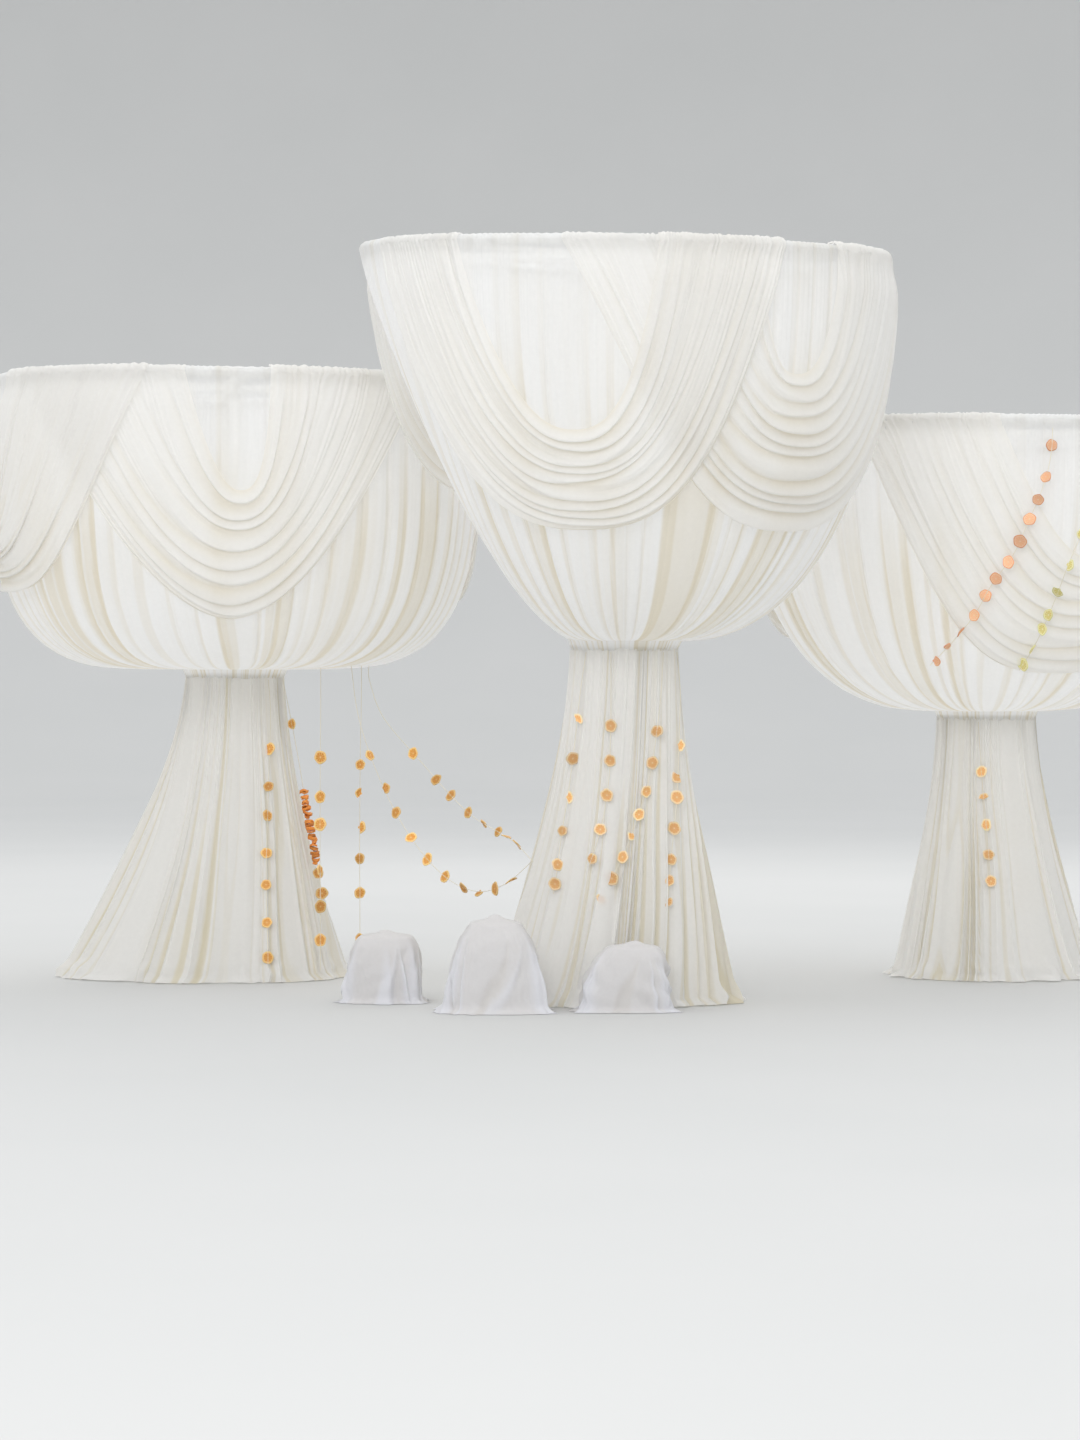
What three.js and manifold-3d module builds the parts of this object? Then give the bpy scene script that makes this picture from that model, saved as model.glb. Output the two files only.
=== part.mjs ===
// A draped canopy of three free-standing stands.
// Each stand has a round base plate, a mast, a top ring on radial arms, and a waist hoop.
// A sheer liner hangs from the ring as a bowl, five swags hang round the ring over it,
// and a skirt falls from the waist hoop to the ground.
// Millimetres, +Z up. The origin is under the middle of the centre stand's base plate,
// +X is to the right and +Y away from the front.
// An angle on a stand runs from its front (0) over its right side (90) to its back (180).

import * as THREE from 'three';
import { mergeVertices } from 'three/addons/utils/BufferGeometryUtils.js';
import Module from 'manifold-3d';

// Driving dimensions shared by the stands
const GAP = 0.3;
const SEGMENTS = 24;
const RING_RADIUS = 1040;
const RING_TUBE_RADIUS = 16;
const RING_TUBE_SIDES = 6;
const SLEEVE_WALL = 3.5;
const CLOTH = 3;
const SWAG_CLOTH = 4;
const SWAG_LIFT_UNDER = 13;
const SWAG_LIFT_OVER = 31;
const SWAG_COLUMNS = 14;
const SWAG_ROW_DEGREES = 14;
const SWAG_SAG = 2.6;
const SWAG_CROSSOVER = [0.35, 0.65];
const FLAP_STATIONS = 2;
const FLAP_REACH = 7;
const SLEEVE_TURNS = [120, 60, 0];
const LINER_ROWS = 6;
const SKIRT_ROWS = 5;
const SKIRT_FLARE_POWER = 1.5;
const SKIRT_TOP_DROP = 6;
const SKIRT_BAND_MARGIN = 4;
const WAIST_COLLAR_HEIGHT = 40;

const BASE_RADIUS = 190;
const BASE_THICKNESS = 12;
const SOCKET_HEIGHT = 90;
const SOCKET_WALL = 7;
const SOCKET_BITE = 4;
const MAST_RADIUS = 25;
const MAST_SIDES = 12;
const MAST_ABOVE_HUB = 25;
const HUB_RADIUS = 48;
const HUB_HEIGHT = 60;
const ARM_COUNT = 6;
const ARM_SIZE = 22;
const ARM_BITE = 8;
const HOOP_RADIUS = 200;
const HOOP_SECTION = 18;
const HOOP_ARM_COUNT = 3;
const HOOP_ARM_SIZE = 12;
const HOOP_ARM_BITE = 5;
const HOOP_COLLAR_RADIUS = 36;
const HOOP_COLLAR_HEIGHT = 36;

const SLICE_RADIUS = 27;
const SLICE_THICKNESS = 5;
const STACK_RADIUS = 27;
const THREAD_RADIUS = 1.5;
const THREAD_SIDES = 8;
const THREAD_END_SHARE = 0.995;

// Swags of a stand: the angles of the hem's left end, the open U's left and right edges
// and the hem's right end, then how far the U and the hem hang below the ring. Where three more
// numbers stand, they are how roundly the hem and the U sag and how far both lean to the right.
const STANDS = [
  {
    name: 'centre',
    place: [0, 0],
    ringHeight: 3005,
    bowlDepth: 1550,
    bowlPower: 2.2,
    tightAngle: -95,
    tightPower: 1.2,
    riseRight: -0.022,
    riseBack: 0.04,
    skirtFoot: [[-115, 580], [-65, 430], [-35, 345], [2, 245], [45, 300], [90, 450], [150, 470]],
    swags: [
      [-65, -38, 6, 34, 735, 1120, 2.6, 2.4, 4],
      [-14, 27, 49, 102, 500, 1110],
      [80, 104, 131, 155, 600, 1020],
      [131, 155, 182, 206, 600, 1020],
      [182, 206, 232, 256, 560, 940],
    ],
  },
  {
    name: 'left',
    place: [-1670, 1460],
    ringHeight: 2570,
    bowlDepth: 1230,
    bowlPower: 3.8,
    tightAngle: 0,
    tightPower: 3.8,
    riseRight: -0.014,
    riseBack: 0,
    skirtFoot: [[-90, 760], [-40, 560], [0, 440], [45, 470], [90, 490], [140, 560]],
    swags: [
      [-50, -7, 12, 50, 490, 1020, 1.8, 2.4, 3],
      [72, 96, 127, 151, 520, 940],
      [127, 151, 182, 206, 520, 940],
      [182, 206, 236, 260, 520, 940],
      [236, 262, 300, 344, 560, 900, 3.6, 2.6, 0],
    ],
  },
  {
    name: 'right',
    place: [1620, 1530],
    ringHeight: 2378,
    bowlDepth: 1220,
    bowlPower: 2.4,
    tightAngle: 0,
    tightPower: 2.4,
    riseRight: -0.006,
    riseBack: 0,
    skirtFoot: [[-90, 400], [-30, 420], [40, 470], [90, 450], [150, 480]],
    swags: [
      [-37, -3, 44, 69, 580, 1050, 2.6, 2.0, 0],
      [44, 68, 98, 122, 540, 920],
      [98, 122, 152, 176, 540, 920],
      [152, 176, 206, 230, 540, 920],
      [206, 230, 260, 284, 500, 900],
    ],
  },
];

// Covered weights: plan centre, half widths at the ground and at the shoulder, and height.
const WEIGHT_COVERS = [
  {
    name: 'weight_cover_tall',
    centre: [-514, -420],
    foot: [200, 172],
    shoulder: [108, 98],
    height: 385,
  },
  {
    name: 'weight_cover_low',
    centre: [-10, -415],
    foot: [184, 110],
    shoulder: [112, 66],
    height: 282,
  },
  {
    name: 'weight_cover_back',
    centre: [-962, 60],
    foot: [154, 140],
    shoulder: [116, 104],
    height: 295,
  },
];

// The exponent that squares a cover's plan.
const COVER_POWER = 3;
const COVER_SIDES = 16;

// A cover's rows: shares of the half widths at the ground and at the shoulder, and of the height.
const COVER_ROWS = [
  [1.12, 0, 0],
  [1.0, 0, 0.08],
  [0.8, 0.3, 0.3],
  [0.6, 0.55, 0.54],
  [0.36, 0.76, 0.74],
  [0.06, 0.97, 0.9],
  [0, 0.76, 0.97],
  [0, 0.3, 1],
];

// Strings of dried fruit slices. Each is tied to the cloth it hangs from: a skirt's waist band at
// an angle, the rim of a bowl at an angle, or the underside of a bowl at [x, y] from its mast.
// The route goes on from there. On a skirt it lists [angle, height above ground], on a bowl
// [angle, depth below the ring], both with a third number where the thread stands further off
// the cloth, and in the air [x, y, z] from the stand's foot. The slices' places are shares of
// the route's length, and a stack fills a stretch of it.
const STRINGS = [
  {
    name: 'left_string_1',
    stand: 'left',
    on: 'skirt',
    tie: 45,
    route: [[43, 1150], [38, 980], [33, 800], [29, 640], [26, 480], [24, 320], [23, 170], [22, 60]],
    slices: [0.24, 0.37, 0.47, 0.6, 0.71, 0.84, 0.96],
  },
  {
    name: 'left_string_2',
    stand: 'left',
    on: 'skirt',
    tie: 75,
    route: [[75, 1120, 24], [75, 940, 33], [74, 780, 34], [73, 620, 34], [72, 460, 30], [71, 330, 24]],
    slices: [0.2, 0.87, 0.96],
    stack: [0.5, 0.82],
  },
  {
    name: 'left_string_3',
    stand: 'left',
    on: 'air',
    tie: [392, -352],
    route: [[392, -354, 1150], [390, -357, 950], [389, -360, 750], [389, -361, 550], [390, -362, 350],
      [390, -362, 150], [390, -362, 50]],
    slices: [0.3, 0.43, 0.52, 0.67, 0.79, 0.9],
  },
  {
    name: 'left_string_4',
    stand: 'left',
    on: 'air',
    tie: [562, -232],
    route: [[560, -232, 1150], [556, -230, 950], [554, -230, 750], [553, -230, 550], [554, -230, 350],
      [554, -230, 130]],
    slices: [0.35, 0.45, 0.57, 0.68, 0.8, 0.96],
  },
  {
    name: 'link_string',
    stand: 'left',
    on: 'air',
    tie: [520, -300],
    route: [[548, -330, 1160], [600, -385, 990], [668, -460, 830], [745, -550, 690], [830, -660, 575],
      [915, -780, 490], [1000, -905, 440], [1080, -1030, 425], [1150, -1170, 445], [1220, -1280, 490]],
    end: { stand: 'centre', angle: -105, level: 3 },
    slices: [0.22, 0.31, 0.38, 0.46, 0.54, 0.62, 0.7, 0.77, 0.85, 0.92],
  },
  {
    name: 'link_string_2',
    stand: 'left',
    on: 'air',
    tie: [590, -150],
    route: [[594, -156, 1290], [660, -260, 1130], [833, -460, 938], [960, -670, 806], [1061, -860, 722],
      [1167, -1060, 668], [1235, -1220, 630]],
    end: { stand: 'centre', angle: -97, level: 3 },
    slices: [0.3, 0.42, 0.5, 0.6, 0.68, 0.76, 0.81, 0.88],
  },
  {
    name: 'centre_string_1',
    stand: 'centre',
    on: 'skirt',
    tie: -45,
    route: [[-48, 1260], [-51, 1080], [-53, 910], [-55, 750], [-56, 600], [-56, 450]],
    slices: [0.28, 0.44, 0.6, 0.74, 0.88, 0.96],
  },
  {
    name: 'centre_string_2',
    stand: 'centre',
    on: 'skirt',
    tie: 45,
    route: [[38, 1250], [31, 1070], [24, 920], [14, 780], [2, 640], [-12, 510], [-22, 400]],
    slices: [0.3, 0.42, 0.53, 0.62, 0.7, 0.79, 0.88, 0.96],
  },
  {
    name: 'centre_string_3',
    stand: 'centre',
    on: 'skirt',
    tie: -15,
    route: [[-14, 1260], [-14, 1080], [-15, 920], [-19, 770], [-25, 640], [-30, 560]],
    slices: [0.34, 0.5, 0.66, 0.82, 0.96],
  },
  {
    name: 'centre_string_4',
    stand: 'centre',
    on: 'skirt',
    tie: 75,
    route: [[70, 1250], [63, 1100], [58, 950], [53, 800], [46, 650], [40, 500], [36, 380]],
    slices: [0.36, 0.48, 0.56, 0.68, 0.8, 0.88, 0.96],
  },
  {
    name: 'right_string_1',
    stand: 'right',
    on: 'bowl',
    tie: 9,
    route: [[8, 150, 30], [6, 290, 48], [3, 430, 50], [0, 560, 50], [-5, 690, 50], [-9, 810, 50],
      [-15, 920, 50], [-23, 1020, 50]],
    slices: [0.09, 0.2, 0.28, 0.35, 0.43, 0.51, 0.58, 0.65, 0.73, 0.81, 0.88, 0.97],
  },
  {
    name: 'right_string_2',
    stand: 'right',
    on: 'bowl',
    tie: 21,
    route: [[20, 160, 16], [18, 310, 20], [16, 450, 40], [13, 590, 52], [11, 720, 52], [9, 840, 52],
      [7, 940, 52], [4, 1040, 52]],
    slices: [0.14, 0.3, 0.42, 0.54, 0.64, 0.74, 0.8, 0.89, 0.97],
  },
  {
    name: 'right_string_3',
    stand: 'right',
    on: 'skirt',
    tie: -15,
    route: [[-12, 970], [-9, 820], [-6, 680], [-4, 540], [-2, 400]],
    slices: [0.3, 0.46, 0.62, 0.8, 0.96],
  },
];
const STRING_LIFT = 14;

// Materials
const clothColour = new THREE.Color(0.93, 0.91, 0.86);
const linerMaterial = new THREE.MeshStandardMaterial({ color: 0xf4f3f0, roughness: 0.9 });
const swagMaterial = new THREE.MeshStandardMaterial({ color: clothColour, roughness: 0.88 });
const skirtMaterial = new THREE.MeshStandardMaterial({ color: 0xf3efe4, roughness: 0.9 });
const coverMaterial = new THREE.MeshStandardMaterial({ color: 0xf6f5f2, roughness: 0.92 });
const steelMaterial = new THREE.MeshStandardMaterial({ color: 0xe9e8e4, roughness: 0.45, metalness: 0.1 });
const plateMaterial = new THREE.MeshStandardMaterial({ color: 0x8d8f91, roughness: 0.5, metalness: 0.7 });
const sliceMaterial = new THREE.MeshStandardMaterial({ color: 0xe08a1e, roughness: 0.7 });

const wasm = await Module();
wasm.setup();

const canopy = new THREE.Group();

// Solids as meshes

function bodyVolume(positions, faces) {
  let sixfold = 0;
  for (const [a, b, c] of faces) {
    sixfold += positions[a].dot(new THREE.Vector3().crossVectors(positions[b], positions[c]));
  }
  return sixfold / 6;
}

function geometryOf(positions, faces) {
  const inward = bodyVolume(positions, faces) < 0;
  const geometry = new THREE.BufferGeometry();
  const places = positions.flatMap((point) => point.toArray());
  geometry.setAttribute('position', new THREE.Float32BufferAttribute(places, 3));
  geometry.setIndex(faces.flatMap(([a, b, c]) => (inward ? [a, c, b] : [a, b, c])));
  geometry.computeVertexNormals();
  return geometry;
}

// The two triangles of a side between neighbouring sections. The second half of a section is the
// inner face of the wall, run backwards, so it is cut the other way to match the outer face.
function sideFaces(a, b, c, d, onInnerFace) {
  return onInnerFace ? [[a, b, d], [b, c, d]] : [[a, b, c], [a, c, d]];
}

// A body swept round a closed loop of sections, each a closed loop of points.
function loopBody(sections) {
  const around = sections.length;
  const across = sections[0].length;
  const faces = [];
  for (let i = 0; i < around; i += 1) {
    for (let j = 0; j < across; j += 1) {
      const a = i * across + j;
      const b = i * across + ((j + 1) % across);
      const c = ((i + 1) % around) * across + ((j + 1) % across);
      const d = ((i + 1) % around) * across + j;
      faces.push(...sideFaces(a, b, c, d, j >= across / 2));
    }
  }
  return geometryOf(sections.flat(), faces);
}

// A body between two flat ends, made of a row of sections, each a closed loop of points.
function barBody(sections) {
  const rows = sections.length;
  const across = sections[0].length;
  const faces = [];
  for (let i = 0; i < rows - 1; i += 1) {
    for (let j = 0; j < across; j += 1) {
      const a = i * across + j;
      const b = i * across + ((j + 1) % across);
      faces.push(...sideFaces(a, b, b + across, a + across, j >= across / 2));
    }
  }
  const last = (rows - 1) * across;
  for (let j = 1; j < across - 1; j += 1) {
    faces.push([0, j + 1, j], [last, last + j, last + j + 1]);
  }
  return geometryOf(sections.flat(), faces);
}

function toSolid(geometry) {
  const plain = new THREE.BufferGeometry();
  plain.setAttribute('position', geometry.getAttribute('position'));
  plain.setIndex(geometry.getIndex());
  const merged = mergeVertices(plain, 1e-4);
  const mesh = new wasm.Mesh({
    numProp: 3,
    vertProperties: new Float32Array(merged.getAttribute('position').array),
    triVerts: new Uint32Array(merged.getIndex().array),
  });
  return new wasm.Manifold(mesh);
}

function toGeometry(solid) {
  const mesh = solid.getMesh();
  const geometry = new THREE.BufferGeometry();
  geometry.setAttribute('position', new THREE.BufferAttribute(new Float32Array(mesh.vertProperties), 3));
  geometry.setIndex(new THREE.BufferAttribute(new Uint32Array(mesh.triVerts), 1));
  geometry.computeVertexNormals();
  return geometry;
}

function joined(geometries) {
  return toGeometry(geometries.map(toSolid).reduce((whole, piece) => whole.add(piece)));
}

function addPiece(group, name, geometry, material) {
  const piece = new THREE.Mesh(geometry, material);
  piece.name = name;
  group.add(piece);
}

// Places on a stand

function onCircle(radius, degrees, z) {
  const angle = THREE.MathUtils.degToRad(degrees);
  return new THREE.Vector3(radius * Math.sin(angle), -radius * Math.cos(angle), z);
}

// The ring isn't quite level: its rise fades to nothing at the waist.
function settled(stand, point, depth) {
  const hold = 1 - THREE.MathUtils.clamp(depth / stand.bowlDepth, 0, 1);
  point.z += (stand.riseRight * point.x + stand.riseBack * point.y) * hold;
  return point;
}

const sleeveOuter = RING_TUBE_RADIUS + GAP / Math.cos(Math.PI / RING_TUBE_SIDES) + SLEEVE_WALL;
const sleeveInner = sleeveOuter - SLEEVE_WALL;
const rimRadius = RING_RADIUS + sleeveOuter;
const hoopOuter = HOOP_RADIUS + HOOP_SECTION / 2;
const waistRadius = hoopOuter + GAP + CLOTH;

function bowlRadius(stand, depth, power) {
  const share = THREE.MathUtils.clamp(depth / stand.bowlDepth, 0, 1);
  return waistRadius + (rimRadius - waistRadius) * (1 - share ** power) ** (1 / power);
}

function waistHeight(stand) {
  return stand.ringHeight - stand.bowlDepth;
}

// Ring, arms, mast and base

function ringGeometry(stand) {
  const sections = [];
  for (let i = 0; i < SEGMENTS; i += 1) {
    const section = [];
    for (let j = 0; j < RING_TUBE_SIDES; j += 1) {
      const turn = (2 * Math.PI * j) / RING_TUBE_SIDES;
      const radius = RING_RADIUS + RING_TUBE_RADIUS * Math.cos(turn);
      const z = stand.ringHeight + RING_TUBE_RADIUS * Math.sin(turn);
      section.push(settled(stand, onCircle(radius, (360 * i) / SEGMENTS, z), 0));
    }
    sections.push(section);
  }
  return loopBody(sections);
}

function roundSections(rings, sides) {
  const sections = [];
  for (const [radius, z] of rings) {
    const section = [];
    for (let i = 0; i < sides; i += 1) {
      section.push(onCircle(radius, (360 * i) / sides, z));
    }
    sections.push(section);
  }
  return sections;
}

function collarSections(inner, outer, bottom, top, sides) {
  return roundSections([[inner, bottom], [outer, bottom], [outer, top], [inner, top]], sides);
}

// The collar's four rings form a closed loop, so its wall is a body with a hole through it.
function collarGeometry(inner, outer, bottom, top, sides) {
  return loopBody(collarSections(inner, outer, bottom, top, sides));
}

function armGeometry(from, to, width, height, z, degrees) {
  const arm = new THREE.BoxGeometry(width, to - from, height);
  arm.translate(0, -(from + to) / 2, z);
  arm.rotateZ(THREE.MathUtils.degToRad(degrees));
  return arm;
}

function tilted(geometry, stand) {
  const place = geometry.getAttribute('position');
  for (let i = 0; i < place.count; i += 1) {
    const rise = stand.riseRight * place.getX(i) + stand.riseBack * place.getY(i);
    place.setZ(i, place.getZ(i) + rise);
  }
  return geometry;
}

function hubArmsGeometry(stand) {
  const z = stand.ringHeight;
  const pieces = [
    collarGeometry(MAST_RADIUS + GAP, HUB_RADIUS, z - HUB_HEIGHT / 2, z + HUB_HEIGHT / 2, MAST_SIDES),
  ];
  const halfSegment = 180 / SEGMENTS;
  const flatInside = (RING_RADIUS - RING_TUBE_RADIUS) * Math.cos(THREE.MathUtils.degToRad(halfSegment));
  for (let i = 0; i < ARM_COUNT; i += 1) {
    const degrees = halfSegment + (360 * i) / ARM_COUNT;
    pieces.push(armGeometry(HUB_RADIUS - ARM_BITE, flatInside - GAP, ARM_SIZE, ARM_SIZE, z, degrees));
  }
  return tilted(joined(pieces), stand);
}

function mastGeometry(stand) {
  const top = stand.ringHeight + HUB_HEIGHT / 2 + MAST_ABOVE_HUB;
  return barBody(roundSections([[MAST_RADIUS, BASE_THICKNESS], [MAST_RADIUS, top]], MAST_SIDES));
}

function basePlateGeometry() {
  const socketInner = MAST_RADIUS + GAP;
  const plate = barBody(roundSections([[BASE_RADIUS, 0], [BASE_RADIUS, BASE_THICKNESS]], SEGMENTS));
  const sunk = BASE_THICKNESS - SOCKET_BITE;
  const top = BASE_THICKNESS + SOCKET_HEIGHT;
  const socket = collarGeometry(socketInner, socketInner + SOCKET_WALL, sunk, top, MAST_SIDES);
  return joined([plate, socket]);
}

function waistHoopGeometry(stand) {
  const z = waistHeight(stand) - WAIST_COLLAR_HEIGHT / 2;
  const half = HOOP_SECTION / 2;
  const pieces = [
    collarGeometry(HOOP_RADIUS - half, HOOP_RADIUS + half, z - half, z + half, SEGMENTS),
    collarGeometry(
      MAST_RADIUS + GAP,
      HOOP_COLLAR_RADIUS,
      z - HOOP_COLLAR_HEIGHT / 2,
      z + HOOP_COLLAR_HEIGHT / 2,
      MAST_SIDES,
    ),
  ];
  for (let i = 0; i < HOOP_ARM_COUNT; i += 1) {
    const degrees = (360 * i) / HOOP_ARM_COUNT;
    const from = HOOP_COLLAR_RADIUS - HOOP_ARM_BITE;
    pieces.push(armGeometry(from, HOOP_RADIUS, HOOP_ARM_SIZE, HOOP_ARM_SIZE, z, degrees));
  }
  return joined(pieces);
}

// Liner: a sleeve over the ring, the bowl, and a gathered end with a collar round the waist hoop

function tightness(stand, degrees) {
  const away = THREE.MathUtils.degToRad(degrees - stand.tightAngle);
  return Math.max(0, Math.cos(away)) ** 2;
}

// The wall's outer and inner rows, each row a radius, a height from the ring and a depth.
function linerRows(stand, degrees) {
  const outer = [];
  const inner = [];
  for (const turn of SLEEVE_TURNS) {
    const angle = THREE.MathUtils.degToRad(turn);
    const along = (size) => [RING_RADIUS + size * Math.cos(angle), size * Math.sin(angle)];
    outer.push([...along(sleeveOuter), 0]);
    inner.push([...along(sleeveInner), 0]);
  }
  const power = THREE.MathUtils.lerp(stand.bowlPower, stand.tightPower, tightness(stand, degrees));
  const width = rimRadius - waistRadius;
  for (let i = 1; i <= LINER_ROWS; i += 1) {
    const turn = (Math.PI / 2) * (i / LINER_ROWS);
    const reach = Math.cos(turn) ** (2 / power);
    const drop = Math.sin(turn) ** (2 / power);
    const slopeOut = reach ** (power - 1) / width;
    const slopeDown = drop ** (power - 1) / stand.bowlDepth;
    const normal = new THREE.Vector2(slopeOut, -slopeDown).normalize();
    const radius = waistRadius + width * reach;
    const depth = stand.bowlDepth * drop;
    outer.push([radius, -depth, depth]);
    inner.push([radius - CLOTH * normal.x, -depth - CLOTH * normal.y, depth]);
  }
  const bottom = stand.bowlDepth + WAIST_COLLAR_HEIGHT;
  outer[outer.length - 1] = [waistRadius, -stand.bowlDepth, stand.bowlDepth];
  inner[inner.length - 1] = [waistRadius - CLOTH, -stand.bowlDepth + CLOTH, stand.bowlDepth];
  outer.push([waistRadius, -bottom, stand.bowlDepth]);
  inner.push([waistRadius - CLOTH, -bottom, stand.bowlDepth]);
  return [outer, inner];
}

// The bowl ends one row above the waist. The gathered end goes on from there after a gap.
const gatherRow = SLEEVE_TURNS.length + LINER_ROWS - 2;

function bowlPart(rows) {
  return rows.slice(0, gatherRow + 1);
}

function gatherPart(rows) {
  const [start, next, ...rest] = rows.slice(gatherRow);
  const share = GAP / Math.hypot(next[0] - start[0], next[1] - start[1]);
  const first = start.map((value, index) => THREE.MathUtils.lerp(value, next[index], share));
  return [first, next, ...rest];
}

function linerGeometry(stand, partOf) {
  const sections = [];
  for (let i = 0; i < SEGMENTS; i += 1) {
    const degrees = (360 * i) / SEGMENTS;
    const [outer, inner] = linerRows(stand, degrees).map(partOf);
    const profile = [...outer, ...inner.reverse()];
    sections.push(profile.map(([radius, down, depth]) => {
      const point = onCircle(radius, degrees, stand.ringHeight + down);
      return settled(stand, point, depth);
    }));
  }
  return loopBody(sections);
}

// Skirt: a band round the liner's collar, then a flare to the ground

// The foot's radius at an angle, eased between the stated ones.
function footRadius(stand, degrees) {
  const stops = stand.skirtFoot;
  const turned = THREE.MathUtils.euclideanModulo(degrees - stops[0][0], 360) + stops[0][0];
  for (let i = 0; i < stops.length; i += 1) {
    const [from, near] = stops[i];
    const [to, far] = i + 1 < stops.length ? stops[i + 1] : [stops[0][0] + 360, stops[0][1]];
    if (turned >= from && turned <= to) {
      const share = (turned - from) / (to - from);
      return near + ((far - near) * (1 - Math.cos(Math.PI * share))) / 2;
    }
  }
  return stops[0][1];
}

function skirtTop(stand) {
  return waistHeight(stand) - SKIRT_TOP_DROP;
}

// The heights of the skirt's rows below its band, from the band's lower edge to the ground.
function skirtLevel(stand, row) {
  const bandFoot = waistHeight(stand) - WAIST_COLLAR_HEIGHT - SKIRT_BAND_MARGIN;
  return bandFoot * (1 - row / SKIRT_ROWS);
}

function skirtRadius(stand, degrees, z) {
  const share = THREE.MathUtils.clamp(1 - z / skirtTop(stand), 0, 1);
  const band = waistRadius + GAP + CLOTH;
  return band + (footRadius(stand, degrees) - band) * share ** SKIRT_FLARE_POWER;
}

function skirtSection(stand, degrees) {
  const outer = [];
  const inner = [];
  const top = skirtTop(stand);
  const levels = [top];
  for (let i = 0; i <= SKIRT_ROWS; i += 1) {
    levels.push(skirtLevel(stand, i));
  }
  for (const z of levels) {
    const radius = skirtRadius(stand, degrees, z);
    outer.push(onCircle(radius, degrees, z));
    inner.push(onCircle(radius - CLOTH, degrees, z));
  }
  return [...outer, ...inner.reverse()];
}

function skirtGeometry(stand) {
  const sections = [];
  for (let i = 0; i < SEGMENTS; i += 1) {
    sections.push(skirtSection(stand, (360 * i) / SEGMENTS));
  }
  return loopBody(sections);
}

// Swags: each end is folded over the ring, and its left end lies under its neighbour's right end

const sleeveTop = sleeveOuter * Math.sin(Math.PI / 3);

function swagPoint(stand, swag, along, across, face) {
  const [hemLeft, openLeft, openRight, hemRight, openDrop, hemDrop] = swag;
  const [hemSag, openSag, lean] = swag.length > 6 ? swag.slice(6) : [SWAG_SAG, SWAG_SAG, 0];
  const left = THREE.MathUtils.lerp(hemLeft, openLeft, across);
  const right = THREE.MathUtils.lerp(hemRight, openRight, across);
  const drop = THREE.MathUtils.lerp(hemDrop, openDrop, across);
  const over = THREE.MathUtils.smoothstep(along, ...SWAG_CROSSOVER);
  const lift = THREE.MathUtils.lerp(SWAG_LIFT_UNDER, SWAG_LIFT_OVER, over) + face * SWAG_CLOTH;
  const side = -Math.cos(Math.PI * along);
  const hung = 1 - Math.abs(side) ** THREE.MathUtils.lerp(hemSag, openSag, across);
  const depth = drop * hung;
  const radius = bowlRadius(stand, depth, stand.bowlPower);
  const halfSpan = THREE.MathUtils.degToRad((right - left) / 2);
  const sideways = THREE.MathUtils.clamp((side * rimRadius * Math.sin(halfSpan)) / radius, -1, 1);
  const degrees = (left + right) / 2 + THREE.MathUtils.radToDeg(Math.asin(sideways)) + lean * hung;
  return settled(stand, onCircle(radius + lift, degrees, stand.ringHeight - depth), depth);
}

function flapPoint(stand, degrees, over, face, tip) {
  const lift = (over ? SWAG_LIFT_OVER : SWAG_LIFT_UNDER) + face * SWAG_CLOTH;
  const level = sleeveTop + GAP + (over ? SWAG_CLOTH + GAP : 0) + face * SWAG_CLOTH;
  const radius = tip ? RING_RADIUS - FLAP_REACH : rimRadius + lift;
  return settled(stand, onCircle(radius, degrees, stand.ringHeight + level), 0);
}

const lastStation = SWAG_COLUMNS + 2 * FLAP_STATIONS;

function swagColumn(stand, swag, station, across, face) {
  const leftAngle = THREE.MathUtils.lerp(swag[0], swag[1], across);
  const rightAngle = THREE.MathUtils.lerp(swag[3], swag[2], across);
  if (station < FLAP_STATIONS) {
    return flapPoint(stand, leftAngle, false, face, station === 0);
  }
  if (station > lastStation - FLAP_STATIONS) {
    return flapPoint(stand, rightAngle, true, face, station === lastStation);
  }
  return swagPoint(stand, swag, (station - FLAP_STATIONS) / SWAG_COLUMNS, across, face);
}

function swagGeometry(stand, swag) {
  const widerShoulder = Math.max(swag[1] - swag[0], swag[3] - swag[2]);
  const rows = Math.max(2, Math.ceil(widerShoulder / SWAG_ROW_DEGREES));
  const sections = [];
  for (let station = 0; station <= lastStation; station += 1) {
    const outer = [];
    const inner = [];
    for (let row = 0; row <= rows; row += 1) {
      outer.push(swagColumn(stand, swag, station, row / rows, 1));
      inner.push(swagColumn(stand, swag, station, row / rows, 0));
    }
    sections.push([...outer, ...inner.reverse()]);
  }
  return barBody(sections);
}

// Covered weights at the feet

function coverGeometry({ centre, foot, shoulder, height }) {
  const sections = COVER_ROWS.map(([footShare, shoulderShare, rise]) => {
    const section = [];
    for (let i = 0; i < COVER_SIDES; i += 1) {
      const angle = (2 * Math.PI * i) / COVER_SIDES;
      const squared = (value) => Math.sign(value) * Math.abs(value) ** (2 / COVER_POWER);
      const halfX = footShare * foot[0] + shoulderShare * shoulder[0];
      const halfY = footShare * foot[1] + shoulderShare * shoulder[1];
      const x = centre[0] + halfX * squared(Math.cos(angle));
      const y = centre[1] + halfY * squared(Math.sin(angle));
      section.push(new THREE.Vector3(x, y, rise * height));
    }
    return section;
  });
  return barBody(sections);
}

// Strings of fruit slices

// How far from the mast's axis a round of flat segments lies at an angle.
function flatRadius(radius, degrees) {
  const half = 180 / SEGMENTS;
  const off = THREE.MathUtils.degToRad(THREE.MathUtils.euclideanModulo(degrees, 2 * half) - half);
  return (radius * Math.cos(THREE.MathUtils.degToRad(half))) / Math.cos(off);
}

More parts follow.
